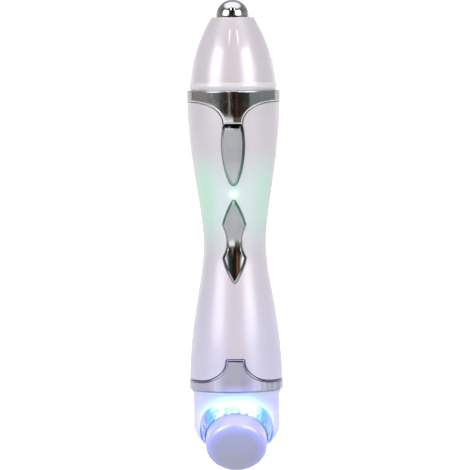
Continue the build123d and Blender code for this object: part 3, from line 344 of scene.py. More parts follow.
def distances(points, segments):
    """Distance of each point to the nearest segment."""
    result = np.full(len(points), 1e9)
    start, along = segments[:, :2], segments[:, 2:] - segments[:, :2]
    length2 = np.maximum((along**2).sum(1), 1e-12)
    for first in range(0, len(points), 800):
        part = points[first:first + 800, None, :] - start[None]
        share = np.clip((part * along[None]).sum(2) / length2, 0, 1)
        gap = part - share[:, :, None] * along[None]
        result[first:first + 800] = np.sqrt((gap**2).sum(2)).min(1)
    return result


def inside(points, loop):
    """Which points lie inside a closed line."""
    x, y = points[:, 0][:, None], points[:, 1][:, None]
    ax, ay = loop[:, 0], loop[:, 1]
    bx, by = np.roll(ax, -1), np.roll(ay, -1)
    crosses = (ay > y) != (by > y)
    at = ax + (y - ay) * (bx - ax) / np.where(by == ay, 1e-12, by - ay)
    return (crosses & (x < at)).sum(1) % 2 == 1


def sheet(outline, holes, seams, steps, spacing, far=None):
    """Triangles over an outline without its holes, with rows of points at steps from the edges.

    seams are the x places of cut lines that aren't real edges, far the height of a straight edge
    with a shape of its own. Returns points, triangles and distances to the other edges."""
    loops = [outline] + list(holes)
    segments = np.vstack([np.hstack([loop, np.roll(loop, -1, axis=0)]) for loop in loops])
    for axis, place in [(0, seam) for seam in seams] + ([] if far is None else [(1, far)]):
        lies_on = (abs(segments[:, axis] - place) < 1e-6) & (abs(segments[:, axis + 2] - place) < 1e-6)
        segments = segments[~lies_on]

    def within(points, seam_gap=0.0):
        keep = inside(points, outline)
        for hole in holes:
            keep &= ~inside(points, hole)
        for seam in seams:
            keep &= abs(points[:, 0] - seam) >= seam_gap
        return keep

    points, edges = [], []
    for loop in loops:
        first = sum(len(part) for part in points)
        points.append(loop)
        edges += [(first + k, first + (k + 1) % len(loop)) for k in range(len(loop))]
    for step in steps:
        for number, loop in enumerate(loops):
            moved = grown(loop, -step if number == 0 else step)
            keep = within(moved, 0.3 * spacing) & (distances(moved, segments) > 0.93 * step)
            order = sum(len(part) for part in points) + np.cumsum(keep) - 1
            points.append(moved[keep])
            pairs = [(k, (k + 1) % len(loop)) for k in range(len(loop))]
            edges += [(order[k], order[n]) for k, n in pairs if keep[k] and keep[n]]
    low, high = outline.min(0), outline.max(0)
    across = np.arange(low[0], high[0], spacing)
    rows = np.arange(low[1], high[1], spacing * 0.866)
    grid = np.array([(x + (r % 2) * spacing / 2, y) for r, y in enumerate(rows) for x in across])
    clear = distances(grid, segments) > steps[-1] + 0.45 * spacing
    points.append(grid[within(grid, 0.4 * spacing) & clear])
    made = delaunay_2d_cdt([Vector(p) for p in np.vstack(points)], edges, [], 0, 1e-5)
    flat = np.array([tuple(v) for v in made[0]])
    triangles = np.array(made[2])
    triangles = triangles[within(flat[triangles].mean(1))]
    a, b, c = flat[triangles[:, 0]], flat[triangles[:, 1]], flat[triangles[:, 2]]
    turn = (b[:, 0] - a[:, 0]) * (c[:, 1] - a[:, 1]) - (b[:, 1] - a[:, 1]) * (c[:, 0] - a[:, 0])
    triangles[turn < 0] = triangles[turn < 0][:, ::-1]
    triangles = triangles[abs(turn) > 1e-9]
    return flat, triangles, distances(flat, segments)


def curved_plate(name, outline, holes, lift, edge, depth, spacing, material, seams=(), far=None):
    """Closed plate over an outline: its face lifted on to a surface, its edge shaped, its back at a depth.

    edge is an open line of (distance from the edge, height); lift takes flat points and heights."""
    steps, heights = edge[:, 0], edge[:, 1]
    flat, triangles, gap = sheet(outline, holes, seams, [s for s in steps[1:] if s > 0.01], spacing, far)
    top = lift(flat, np.interp(gap, steps, heights))
    bottom = lift(flat, np.full(len(flat), -depth))
    count = len(flat)
    faces = [tuple(t) for t in triangles] + [tuple(t[::-1] + count) for t in triangles]
    used = dict.fromkeys(pair for a, b, c in triangles for pair in ((a, b), (b, c), (c, a)))
    for a, b in used:
        on_seam = any(abs(flat[a][0] - seam) < 1e-4 and abs(flat[b][0] - seam) < 1e-4 for seam in seams)
        if (b, a) not in used and not on_seam:
            faces.append((a, a + count, b + count, b))
    mesh = raw_mesh(name, np.vstack([top, bottom]), faces, material)
    mark = mesh.attributes.new("edge_gap", "FLOAT", "POINT")
    mark.data.foreach_set("value", np.concatenate([gap, np.zeros(count)]).astype(np.float32))
    return settled(mesh, name)


def new_tree(name, base, output, **inputs):
    """Geometry node tree that makes an output from a base and inputs of some kinds, with its input node."""
    tree = bpy.data.node_groups.new(name, "GeometryNodeTree")
    for label, kind in {base: "Geometry", **inputs, "Finish": "Material"}.items():
        tree.interface.new_socket(label.replace("_", " "), in_out="INPUT", socket_type=f"NodeSocket{kind}")
    tree.interface.new_socket(output, in_out="OUTPUT", socket_type="NodeSocketGeometry")
    return tree, add_node(tree, "NodeGroupInput")[0]


def ended(tree, given, shape):
    """Ends a node tree: the shape's instances made real, in the finish that is given."""
    real = add_node(tree, "GeometryNodeRealizeInstances", _0=shape)
    done = add_node(tree, "GeometryNodeSetMaterial", _0=real, Material=(given, "Finish"))
    add_node(tree, "NodeGroupOutput", _0=done)
    return tree


def lathe_tree():
    """Node tree that turns a side line about an axis: the line is swept round a small circle."""
    tree, given = new_tree(
        "turned_on_a_lathe", "Side line", "Turned piece", Steps_round="Int", Core_radius="Float",
    )
    circle = add_node(
        tree, "GeometryNodeCurvePrimitiveCircle", {"mode": "RADIUS"},
        Resolution=(given, "Steps round"), Radius=(given, "Core radius"),
    )
    side = add_node(tree, "GeometryNodeMeshToCurve", Mesh=(given, "Side line"))
    sweep = add_node(tree, "GeometryNodeCurveToMesh", Curve=circle, Profile_Curve=side)
    closed = add_node(tree, "GeometryNodeMergeByDistance", Geometry=sweep, Distance=MERGED * MM)
    return ended(tree, given, closed)


def grown_by_nodes(name, base, tree, values, place=None):
    """Plain mesh object of what a node tree makes from a base mesh, with its place in the mesh."""
    carrier = new_object(name + "_base", base)
    maker = carrier.modifiers.new("maker", "NODES")
    maker.node_group = tree
    sockets = {item.name: item.identifier for item in tree.interface.items_tree if item.in_out == "INPUT"}
    for key, value in values.items():
        maker[sockets[key]] = value
    bpy.context.view_layer.update()
    ready = carrier.evaluated_get(bpy.context.evaluated_depsgraph_get())
    mesh = bpy.data.meshes.new_from_object(ready)
    carrier.modifiers.remove(maker)
    bpy.data.objects.remove(carrier)
    if place:
        mesh.transform(place)
    mesh.name = name
    return settled(mesh, name)


LATHE = lathe_tree()
CORE = 1.0


def turned(name, line, material, place=None, steps=128):
    """Piece turned from a side line of (radius, height) points, closed unless it starts on the axis."""
    base = bpy.data.meshes.new(name + "_line")
    count = len(line)
    edges = [(k, k + 1) for k in range(count - 1)]
    if line[0][0] > 0 and line[-1][0] > 0:
        edges.append((count - 1, 0))
    base.from_pydata([((r - CORE) * MM, -z * MM, 0) for r, z in line], edges, [])
    values = {"Steps round": steps, "Core radius": CORE * MM, "Finish": material}
    return outward(grown_by_nodes(name, base, LATHE, values, place))


PLATE_WAYS = Matrix((PLATE_ACROSS, PLATE_UP, PLATE_AXIS)).transposed().to_4x4()
PLATE_PLACE = Matrix.Translation(PLATE_FOOT * MM) @ PLATE_WAYS


replaced = set()


def wear(piece, body, stands_for):
    """Says which body a finished piece rides on, and the CAD node it stands for."""
    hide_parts(stands_for)
    replaced.add(stands_for)
    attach(piece, body)


# Materials ----

def new_material(name, base, **values):
    """Material with its node tree and shader; values are constants set on the shader's own sockets."""
    material = bpy.data.materials.new(name)
    material.use_nodes = True
    material.diffuse_color = colour(base)
    tree = material.node_tree
    shader = tree.nodes["Principled BSDF"]
    shader.inputs["Base Color"].default_value = colour(base)
    for key, value in values.items():
        shader.inputs[key.replace("_", " ")].default_value = value
    return material, tree, shader


def link(shader, **values):
    """Links (node, output) pairs to the shader's sockets."""
    for key, (node, output) in values.items():
        shader.id_data.links.new(node.outputs[output], shader.inputs[key.replace("_", " ")])


def place_of(tree, kind="Object"):
    """The coordinates of a kind, and their three parts."""
    here = add_node(tree, "ShaderNodeTexCoord", output=kind)
    parts = add_node(tree, "ShaderNodeSeparateXYZ", _0=here)[0]
    return here, (parts, 0), (parts, 1), (parts, 2)


def near_lamp(tree, here, radius_mm):
    """Soft spot of 1 at the signal lamp, falling to 0 at a radius."""
    lamp = tuple(v * MM for v in LAMP)
    gap = add_node(tree, "ShaderNodeVectorMath", {"operation": "DISTANCE"}, "Value", _0=here, _1=lamp)
    return add_node(tree, "ShaderNodeMapRange", Value=gap, From_Min=radius_mm * MM, From_Max=0.0)


def plate_parts(tree, here):
    """Places along the plate's own axes: across it, up it, out along it, and the gap from its axis."""
    foot = tuple(PLATE_FOOT * MM)
    from_foot = add_node(tree, "ShaderNodeVectorMath", {"operation": "SUBTRACT"}, _0=here, _1=foot)
    parts, squares = [], []
    for way in (PLATE_ACROSS, PLATE_UP, PLATE_AXIS):
        part = add_node(
            tree, "ShaderNodeVectorMath", {"operation": "DOT_PRODUCT"}, "Value", _0=from_foot, _1=tuple(way),
        )
        parts.append(part)
        squares.append(add_node(tree, "ShaderNodeMath", TIMES, _0=part, _1=part))
    both = add_node(tree, "ShaderNodeMath", PLUS, _0=squares[0], _1=squares[1])
    return (*parts, add_node(tree, "ShaderNodeMath", {"operation": "SQRT"}, _0=both))


# Finishes ----

# Settings that many nodes share; a Mix node's two colours are its inputs 6 and 7
TIMES, PLUS, UNSIGNED = ({"operation": name} for name in ("MULTIPLY", "ADD", "ABSOLUTE"))
COLOURS = {"data_type": "RGBA"}


def pearl_finish():
    """Pearl lacquer over moulded ABS: milky body colour under a clear coat that softens its lights."""
    material, tree, shader = new_material(
        "pearl lacquer over moulded ABS", "#b6b2b9", Roughness=0.42, Coat_Weight=0.9, Coat_Roughness=0.07,
        Coat_IOR=1.5,
    )
    here, x, y, z = place_of(tree)
    # Shell colour by height; the lavender towards the bottom is painted light from the lit head
    tint = add_node(
        tree, "ShaderNodeValToRGB",
        {
            "stops": [
                (0.0, "#b6b3cb"), (0.14, "#b7b3c6"), (0.3, "#b7b2bc"), (0.62, "#b4b0b5"), (0.72, "#b5afb5"),
                (1.0, "#b2acb3"),
            ],
            "interpolation": "EASE",
        },
        Fac=add_node(tree, "ShaderNodeMapRange", Value=z, From_Min=-0.05, From_Max=0.09),
    )
    body = add_node(
        tree, "ShaderNodeMix", COLOURS, 2,
        _0=add_node(
            tree, "ShaderNodeMath", TIMES,
            _0=add_node(
                tree, "ShaderNodeMapRange",
                Value=add_node(
                    tree, "ShaderNodeTexNoise", Vector=here, Scale=1000.0 / 0.35, Detail=3.0, Roughness=0.6,
                ),
                From_Min=0.3, From_Max=0.7,
            ),
            _1=0.22,
        ),
        _6=tint, _7="#c9c4d2",
    )
    # Painted sheen: the pink that the pearl shows where it is seen square on is painted down the middle
    body = add_node(
        tree, "ShaderNodeMix", COLOURS, 2,
        _0=add_node(
            tree, "ShaderNodeMath", TIMES,
            _0=add_node(
                tree, "ShaderNodeMapRange", Value=add_node(tree, "ShaderNodeMath", UNSIGNED, _0=x),
                From_Min=0.0065, From_Max=0.0005,
            ),
            _1=0.5,
        ),
        _6=body, _7="#bbaeb4",
    )
    # Painted light: the low step at the cap's foot is painted paler
    body = add_node(
        tree, "ShaderNodeMix", COLOURS, 2,
        _0=add_node(
            tree, "ShaderNodeMath", TIMES,
            _0=add_node(tree, "ShaderNodeMapRange", Value=z, From_Min=0.0581, From_Max=0.0584),
            _1=add_node(tree, "ShaderNodeMapRange", Value=z, From_Min=0.0613, From_Max=0.061),
        ),
        _6=body, _7="#c4c2c7",
    )
    # The lamp under the skin lends both flanks a mint cast and the middle a cold one
    level = add_node(
        tree, "ShaderNodeMath", TIMES,
        _0=add_node(tree, "ShaderNodeMapRange", Value=z, From_Min=-0.003, From_Max=0.011),
        _1=add_node(tree, "ShaderNodeMapRange", Value=z, From_Min=0.037, From_Max=0.022),
    )
    forward = add_node(tree, "ShaderNodeMapRange", Value=y, From_Min=0.004, From_Max=-0.006)
    left = add_node(
        tree, "ShaderNodeMath", TIMES,
        _0=add_node(tree, "ShaderNodeMapRange", Value=x, From_Min=-0.004, From_Max=-0.0105), _1=forward,
    )
    right = add_node(
        tree, "ShaderNodeMath", TIMES,
        _0=add_node(tree, "ShaderNodeMapRange", Value=x, From_Min=0.005, From_Max=0.0105), _1=forward,
    )
    body = add_node(
        tree, "ShaderNodeMix", COLOURS, 2,
        _0=add_node(
            tree, "ShaderNodeMath", TIMES,
            _0=add_node(
                tree, "ShaderNodeMath", TIMES, _0=level,
                _1=add_node(tree, "ShaderNodeMapRange", Value=y, From_Min=-0.004, From_Max=-0.012),
            ),
            _1=0.7,
        ),
        _6=body, _7="#bfd2d1",
    )
    body = add_node(
        tree, "ShaderNodeMix", COLOURS, 2,
        _0=add_node(
            tree, "ShaderNodeMath", TIMES, _0=level,
            _1=add_node(
                tree, "ShaderNodeMath", PLUS, _0=add_node(tree, "ShaderNodeMath", TIMES, _0=left, _1=0.62),
                _1=add_node(tree, "ShaderNodeMath", TIMES, _0=right, _1=0.44),
            ),
        ),
        _6=body, _7="#9fd8bb",
    )
    # Round the lamp the skin itself glows green
    halo = add_node(tree, "ShaderNodeMath", {"operation": "POWER"}, _0=near_lamp(tree, here, 5.4), _1=2.2)
    core = near_lamp(tree, here, 2.3)
    link(
        shader, Base_Color=body,
        Roughness=add_node(
            tree, "ShaderNodeMapRange",
            Value=add_node(tree, "ShaderNodeTexNoise", Vector=here, Scale=1000.0 / 6.0), From_Min=0.3,
            From_Max=0.7, To_Min=0.38, To_Max=0.46,
        ),
        Coat_Weight=add_node(
            tree, "ShaderNodeMapRange", Value=z, From_Min=0.0, From_Max=0.058, To_Min=0.42, To_Max=0.95,
        ),
        Emission_Color=add_node(tree, "ShaderNodeMix", COLOURS, 2, _0=core, _6="#6fe9ab", _7="#b2fbcf"),
        Emission_Strength=add_node(
            tree, "ShaderNodeMath", PLUS, _0=add_node(tree, "ShaderNodeMath", TIMES, _0=halo, _1=0.3),
            _1=add_node(tree, "ShaderNodeMath", TIMES, _0=core, _1=0.66),
        ),
    )
    link(
        shader,
        Coat_Normal=add_node(
            tree, "ShaderNodeBump",
            Height=add_node(tree, "ShaderNodeTexNoise", Vector=here, Scale=1000.0 / 2.5, Detail=1.0),
            Strength=0.5, Distance=0.003 * MM,
        ),
    )
    link(
        shader,
        Normal=add_node(
            tree, "ShaderNodeBump",
            Height=add_node(tree, "ShaderNodeTexNoise", Vector=here, Scale=1000.0 / 0.3), Strength=0.4,
            Distance=0.004 * MM,
        ),
    )
    return material


def chrome_finish():
    """Bright chrome plate: mirror with the waviness and haze of plated plastic, its edges darkened with
    painted shade and its bevels lit with painted reflections.
    """
    material, tree, shader = new_material(
        "chrome plate over ABS", "#a6a9aa", Metallic=1.0, Roughness=0.07, Emission_Color=colour("#4f8f74"),
    )
    here, x, y, z = place_of(tree)
    haze = add_node(
        tree, "ShaderNodeMix", COLOURS, 2,
        _0=add_node(
            tree, "ShaderNodeMapRange",
            Value=add_node(tree, "ShaderNodeTexNoise", Vector=here, Scale=1000.0 / 7.0, Detail=3.0),
            From_Min=0.35, From_Max=0.7,
        ),
        _6="#a2a5a6", _7="#acaeaf",
    )
    # Painted reflection brightens the mode key towards its point, and painted violet light from the lit head
    # tints the lower band
    haze = add_node(
        tree, "ShaderNodeMix", COLOURS, 2,
        _0=add_node(
            tree, "ShaderNodeMath", TIMES,
            _0=add_node(tree, "ShaderNodeMapRange", Value=z, From_Min=0.033, From_Max=0.026),
            _1=add_node(tree, "ShaderNodeMapRange", Value=z, From_Min=0.0212, From_Max=0.0216),
        ),
        _6=haze, _7="#b6b9ba",
    )
    violet = add_node(
        tree, "ShaderNodeMix", COLOURS, 2,
        _0=add_node(
            tree, "ShaderNodeMapRange", Value=add_node(tree, "ShaderNodeMath", UNSIGNED, _0=x),
            From_Min=0.006, From_Max=0.012,
        ),
        _6="#a5a6b6", _7="#afb0c0",
    )
    body = add_node(
        tree, "ShaderNodeMix", COLOURS, 2,
        _0=add_node(tree, "ShaderNodeMapRange", Value=z, From_Min=-0.034, From_Max=-0.048), _6=haze,
        _7=violet,
    )
    # Both bands: a bevel of painted reflection between two dark lines of painted shade, bright above and
    # violet with the head's painted light below; millimetres from the edge
    edge = add_node(tree, "ShaderNodeAttribute", {"attribute_name": "edge_gap"}, "Fac")
    upper_bevel_painted_light = add_node(
        tree, "ShaderNodeValToRGB",
        {
            "stops": [
                (0.0, "#3c3d40"), (0.1, "#4a4b4e"), (0.16, "#ffffff"), (0.42, "#ffffff"), (0.5, "#38393b"),
                (0.62, "#a6a9aa"),
            ],
            "interpolation": "LINEAR",
        },
        Fac=edge,
    )
    lower_bevel_painted_light = add_node(
        tree, "ShaderNodeValToRGB",
        {
            "stops": [
                (0.0, "#38364c"), (0.1, "#3f3d55"), (0.16, "#9290b4"), (0.7, "#8e8cb2"), (0.78, "#333146"),
                (0.94, "#a5a6b6"),
            ],
            "interpolation": "LINEAR",
        },
        Fac=edge,
    )
    body = add_node(
        tree, "ShaderNodeMix", COLOURS, 2,
        _0=add_node(
            tree, "ShaderNodeMath", TIMES,
            _0=add_node(tree, "ShaderNodeMapRange", Value=edge, From_Min=0.64, From_Max=0.6),
            _1=add_node(tree, "ShaderNodeMapRange", Value=z, From_Min=0.0456, From_Max=0.0459),
        ),
        _6=body, _7=upper_bevel_painted_light,
    )
    body = add_node(
        tree, "ShaderNodeMix", COLOURS, 2,
        _0=add_node(
            tree, "ShaderNodeMath", TIMES,
            _0=add_node(tree, "ShaderNodeMapRange", Value=edge, From_Min=0.98, From_Max=0.95),
            _1=add_node(tree, "ShaderNodeMapRange", Value=z, From_Min=-0.038, From_Max=-0.039),
        ),
        _6=body, _7=lower_bevel_painted_light,
    )
    # Painted light: the lit head's violet glow on the front middle of the lower band
    lower_band_painted_glow = add_node(
        tree, "ShaderNodeMath", TIMES,
        _0=add_node(tree, "ShaderNodeMapRange", Value=z, From_Min=-0.0503, From_Max=-0.0526),
        _1=add_node(
            tree, "ShaderNodeMapRange", Value=add_node(tree, "ShaderNodeMath", UNSIGNED, _0=x),
            From_Min=0.009, From_Max=0.003,
        ),
    )
    body = add_node(
        tree, "ShaderNodeMix", COLOURS, 2,
        _0=add_node(
            tree, "ShaderNodeMath", TIMES, _0=lower_band_painted_glow,
            _1=add_node(tree, "ShaderNodeMapRange", Value=y, From_Min=0.0, From_Max=-0.006),
        ),
        _6=body, _7="#b3b6e8",
    )
    # Bevels turned from the light: the mode key's right and top, and the rocker's lower corners
    bevel = add_node(tree, "ShaderNodeMapRange", Value=edge, From_Min=0.95, From_Max=0.8)
    key_end = add_node(tree, "ShaderNodeMapRange", Value=z, From_Min=0.0457, From_Max=0.0456)
    key_right = add_node(
        tree, "ShaderNodeMath", TIMES,
        _0=add_node(
            tree, "ShaderNodeMath", TIMES,
            _0=add_node(tree, "ShaderNodeMapRange", Value=x, From_Min=0.0012, From_Max=0.0022),
            _1=add_node(tree, "ShaderNodeMapRange", Value=z, From_Min=0.019, From_Max=0.0195),
        ),
        _1=key_end,
    )
    body = add_node(
        tree, "ShaderNodeMix", COLOURS, 2, _0=add_node(tree, "ShaderNodeMath", TIMES, _0=key_right, _1=bevel),
        _6=body, _7="#4a504f",
    )
    body = add_node(
        tree, "ShaderNodeMix", COLOURS, 2,
        _0=add_node(
            tree, "ShaderNodeMath", TIMES,
            _0=add_node(
                tree, "ShaderNodeMath", TIMES,
                _0=add_node(tree, "ShaderNodeMapRange", Value=z, From_Min=0.0441, From_Max=0.0445),
                _1=key_end,
            ),
            _1=bevel,
        ),
        _6=body, _7="#14161b",
    )
    low_corner = add_node(
        tree, "ShaderNodeMath", TIMES,
        _0=add_node(tree, "ShaderNodeMapRange", Value=z, From_Min=-0.0005, From_Max=-0.0015),
        _1=add_node(tree, "ShaderNodeMapRange", Value=z, From_Min=-0.01, From_Max=-0.008),
    )
    body = add_node(
        tree, "ShaderNodeMix", COLOURS, 2,
        _0=add_node(
            tree, "ShaderNodeMath", TIMES,
            _0=add_node(tree, "ShaderNodeMath", TIMES, _0=low_corner, _1=bevel), _1=0.9,
        ),
        _6=body, _7="#454a4a",
    )
    # Bevels beside the lamp pick up its green
    lamp_side = add_node(tree, "ShaderNodeMath", TIMES, _0=near_lamp(tree, here, 16.0), _1=bevel)
    link(
        shader, Base_Color=add_node(tree, "ShaderNodeMix", COLOURS, 2, _0=lamp_side, _6=body, _7="#5f9a80"),
        Emission_Strength=add_node(tree, "ShaderNodeMath", TIMES, _0=lamp_side, _1=0.25),
        Roughness=add_node(
            tree, "ShaderNodeMapRange",
            Value=add_node(tree, "ShaderNodeTexNoise", Vector=here, Scale=1000.0 / 4.0, Detail=3.0),
            From_Min=0.35, From_Max=0.7, To_Min=0.05, To_Max=0.11,
        ),
    )
    link(
        shader,
        Normal=add_node(
            tree, "ShaderNodeBump",
            Height=add_node(tree, "ShaderNodeTexNoise", Vector=here, Scale=1000.0 / 3.0, Detail=1.0),
            Strength=0.6, Distance=0.002 * MM,
        ),
    )
    return material


def dome_finish():
    """Polished steel of the small dome: neutral mirror with faint wipe marks."""
    material, tree, shader = new_material("polished steel dome", "#b4b5b4", Metallic=1.0, Roughness=0.06)
    here = place_of(tree)[0]
    link(
        shader,
        Base_Color=add_node(
            tree, "ShaderNodeMix", COLOURS, 2,
            _0=add_node(
                tree, "ShaderNodeMapRange",
                Value=add_node(tree, "ShaderNodeTexNoise", Vector=here, Scale=1000.0 / 2.5), From_Min=0.3,
                From_Max=0.7,
            ),
            _6="#a0a19e", _7="#abaca8",
        ),
        Roughness=add_node(
            tree, "ShaderNodeMapRange",
            Value=add_node(tree, "ShaderNodeTexNoise", Vector=here, Scale=1000.0 / 1.5, Detail=3.0),
            From_Min=0.3, From_Max=0.7, To_Min=0.04, To_Max=0.1,
        ),
    )
    link(
        shader,
        Normal=add_node(
            tree, "ShaderNodeBump",
            Height=add_node(tree, "ShaderNodeTexNoise", Vector=here, Scale=1000.0 / 1.2, Detail=1.0),
            Strength=0.4, Distance=0.001 * MM,
        ),
    )
    return material


def plate_finish():
    """Satin polished steel washed with the ring's violet light, strongest on the rim and the upper side."""
    material, tree, shader = new_material("satin polished steel", "#9a9eb8", Metallic=0.55, Roughness=0.36)
    here = place_of(tree)[0]
    across, up, out, gap = plate_parts(tree, here)
    rim = add_node(tree, "ShaderNodeMapRange", Value=gap, From_Min=0.0072, From_Max=0.0104)
    flank = add_node(tree, "ShaderNodeMapRange", Value=out, From_Min=0.0206, From_Max=0.0194)
    lower = add_node(tree, "ShaderNodeMapRange", Value=up, From_Min=0.004, From_Max=-0.01)
    aside = add_node(
        tree, "ShaderNodeMapRange", Value=add_node(tree, "ShaderNodeMath", UNSIGNED, _0=across),
        From_Min=0.0045, From_Max=0.0095,
    )
    face = add_node(tree, "ShaderNodeMix", COLOURS, 2, _0=lower, _6="#a9add2", _7="#acafb2")
    side = add_node(
        tree, "ShaderNodeMix", COLOURS, 2,
        _0=add_node(
            tree, "ShaderNodeMath", TIMES,
            _0=add_node(tree, "ShaderNodeMapRange", Value=up, From_Min=0.001, From_Max=0.0095),
            _1=add_node(
                tree, "ShaderNodeMapRange", Value=aside, From_Min=0.0, From_Max=1.0, To_Min=1.0, To_Max=0.1,
            ),
        ),
        _6="#c4c7dc", _7="#a19eea",
    )
    violet = add_node(
        tree, "ShaderNodeMix", COLOURS, 2, _0=flank,
        _6=add_node(tree, "ShaderNodeMix", COLOURS, 2, _0=lower, _6="#9298dc", _7="#b9bbd0"), _7=side,
    )
    wipe = add_node(
        tree, "ShaderNodeMapRange",
        Value=add_node(tree, "ShaderNodeTexNoise", Vector=here, Scale=1000.0 / 3.0, Detail=3.0), From_Min=0.3,
        From_Max=0.7,
    )
    wash = add_node(
        tree, "ShaderNodeMath", TIMES, _0=rim,
        _1=add_node(
            tree, "ShaderNodeMapRange", Value=up, From_Min=-0.012, From_Max=0.009, To_Min=0.0, To_Max=0.38,
        ),
    )
    link(
        shader,
        Base_Color=add_node(
            tree, "ShaderNodeMix", COLOURS, 2, _0=add_node(tree, "ShaderNodeMath", TIMES, _0=wipe, _1=0.25),
            _6=add_node(tree, "ShaderNodeMix", COLOURS, 2, _0=rim, _6=face, _7=violet), _7="#b7bacb",
        ),
        Roughness=add_node(
            tree, "ShaderNodeMapRange",
            Value=add_node(tree, "ShaderNodeTexNoise", Vector=here, Scale=1000.0 / 2.0, Detail=3.0),
            From_Min=0.3, From_Max=0.7, To_Min=0.4, To_Max=0.5,
        ),
        Emission_Color=add_node(
            tree, "ShaderNodeMix", COLOURS, 2, _0=flank, _6="#a9adf6",
            _7=add_node(tree, "ShaderNodeMix", COLOURS, 2, _0=aside, _6="#a59ff0", _7="#8d91ae"),
        ),
        Emission_Strength=add_node(
            tree, "ShaderNodeMath", PLUS, _0=wash,
            _1=add_node(
                tree, "ShaderNodeMath", TIMES, _0=add_node(tree, "ShaderNodeMath", TIMES, _0=flank, _1=aside),
                _1=0.08,
            ),
        ),
    )
    link(
        shader,
        Normal=add_node(
            tree, "ShaderNodeBump",
            Height=add_node(tree, "ShaderNodeTexNoise", Vector=here, Scale=1000.0 / 1.2), Strength=0.3,
            Distance=0.002 * MM,
        ),
    )
    return material


def frosted_finish():
    """Milky polycarbonate lit from inside: cyan white above the bore and violet at the sides."""
    material, tree, shader = new_material(
        "milky polycarbonate", "#b7bce2", Roughness=0.3, Coat_Weight=0.6, Coat_Roughness=0.12,
    )
    here, x, y = place_of(tree)[:3]
    _, up, _, gap = plate_parts(tree, here)
    spread = add_node(
        tree, "ShaderNodeMapRange", Value=add_node(tree, "ShaderNodeMath", UNSIGNED, _0=x), From_Min=0.004,
        From_Max=0.0155,
    )
    forward = add_node(tree, "ShaderNodeMapRange", Value=y, From_Min=0.0, From_Max=-0.006)
    shade = add_node(
        tree, "ShaderNodeValToRGB",
        {
            "stops": [(0.0, "#b4d2e2"), (0.45, "#b3c4e4"), (0.8, "#b9bbea"), (1.0, "#b7b3e0")],
            "interpolation": "EASE",
        },
        Fac=spread,
    )
    shade = add_node(
        tree, "ShaderNodeMix", COLOURS, 2,
        _0=add_node(
            tree, "ShaderNodeMath", TIMES,
            _0=add_node(
                tree, "ShaderNodeMapRange",
                Value=add_node(tree, "ShaderNodeTexNoise", Vector=here, Scale=1000.0 / 5.0), From_Min=0.35,
                From_Max=0.65,
            ),
            _1=0.3,
        ),
        _6=shade, _7="#bfd9ea",
    )
    # Painted shade: a dark blue line along the lower front of the lip at the bore
    lip = add_node(
        tree, "ShaderNodeMath", TIMES,
        _0=add_node(
            tree, "ShaderNodeMath", TIMES,
            _0=add_node(tree, "ShaderNodeMapRange", Value=gap, From_Min=0.0145, From_Max=0.0139),
            _1=add_node(tree, "ShaderNodeMapRange", Value=up, From_Min=0.002, From_Max=-0.004),
        ),
        _1=forward,
    )
    rim = add_node(
        tree, "ShaderNodeMath", TIMES,
        _0=add_node(
            tree, "ShaderNodeMath", {"operation": "POWER"},
            _0=add_node(tree, "ShaderNodeMapRange", Value=gap, From_Min=0.0163, From_Max=0.0137), _1=1.8,
        ),
        _1=forward,
    )
    link(
        shader,
        Base_Color=add_node(
            tree, "ShaderNodeMix", COLOURS, 2, _0=add_node(tree, "ShaderNodeMath", TIMES, _0=lip, _1=0.8),
            _6=shade, _7="#7078d0",
        ),
        Emission_Color=add_node(tree, "ShaderNodeMix", COLOURS, 2, _0=spread, _6="#b4f5ff", _7="#aebcff"),
        Emission_Strength=add_node(
            tree, "ShaderNodeMath", TIMES,
            _0=add_node(
                tree, "ShaderNodeMath", TIMES, _0=rim,
                _1=add_node(
                    tree, "ShaderNodeMapRange", Value=up, From_Min=-0.006, From_Max=0.006, To_Min=0.25,
                    To_Max=1.0,
                ),
            ),
            _1=0.72,
        ),
    )
    link(
        shader,
        Normal=add_node(
            tree, "ShaderNodeBump",
            Height=add_node(tree, "ShaderNodeTexNoise", Vector=here, Scale=1000.0 / 0.4), Strength=0.4,
            Distance=0.004 * MM,
        ),
    )
    return material


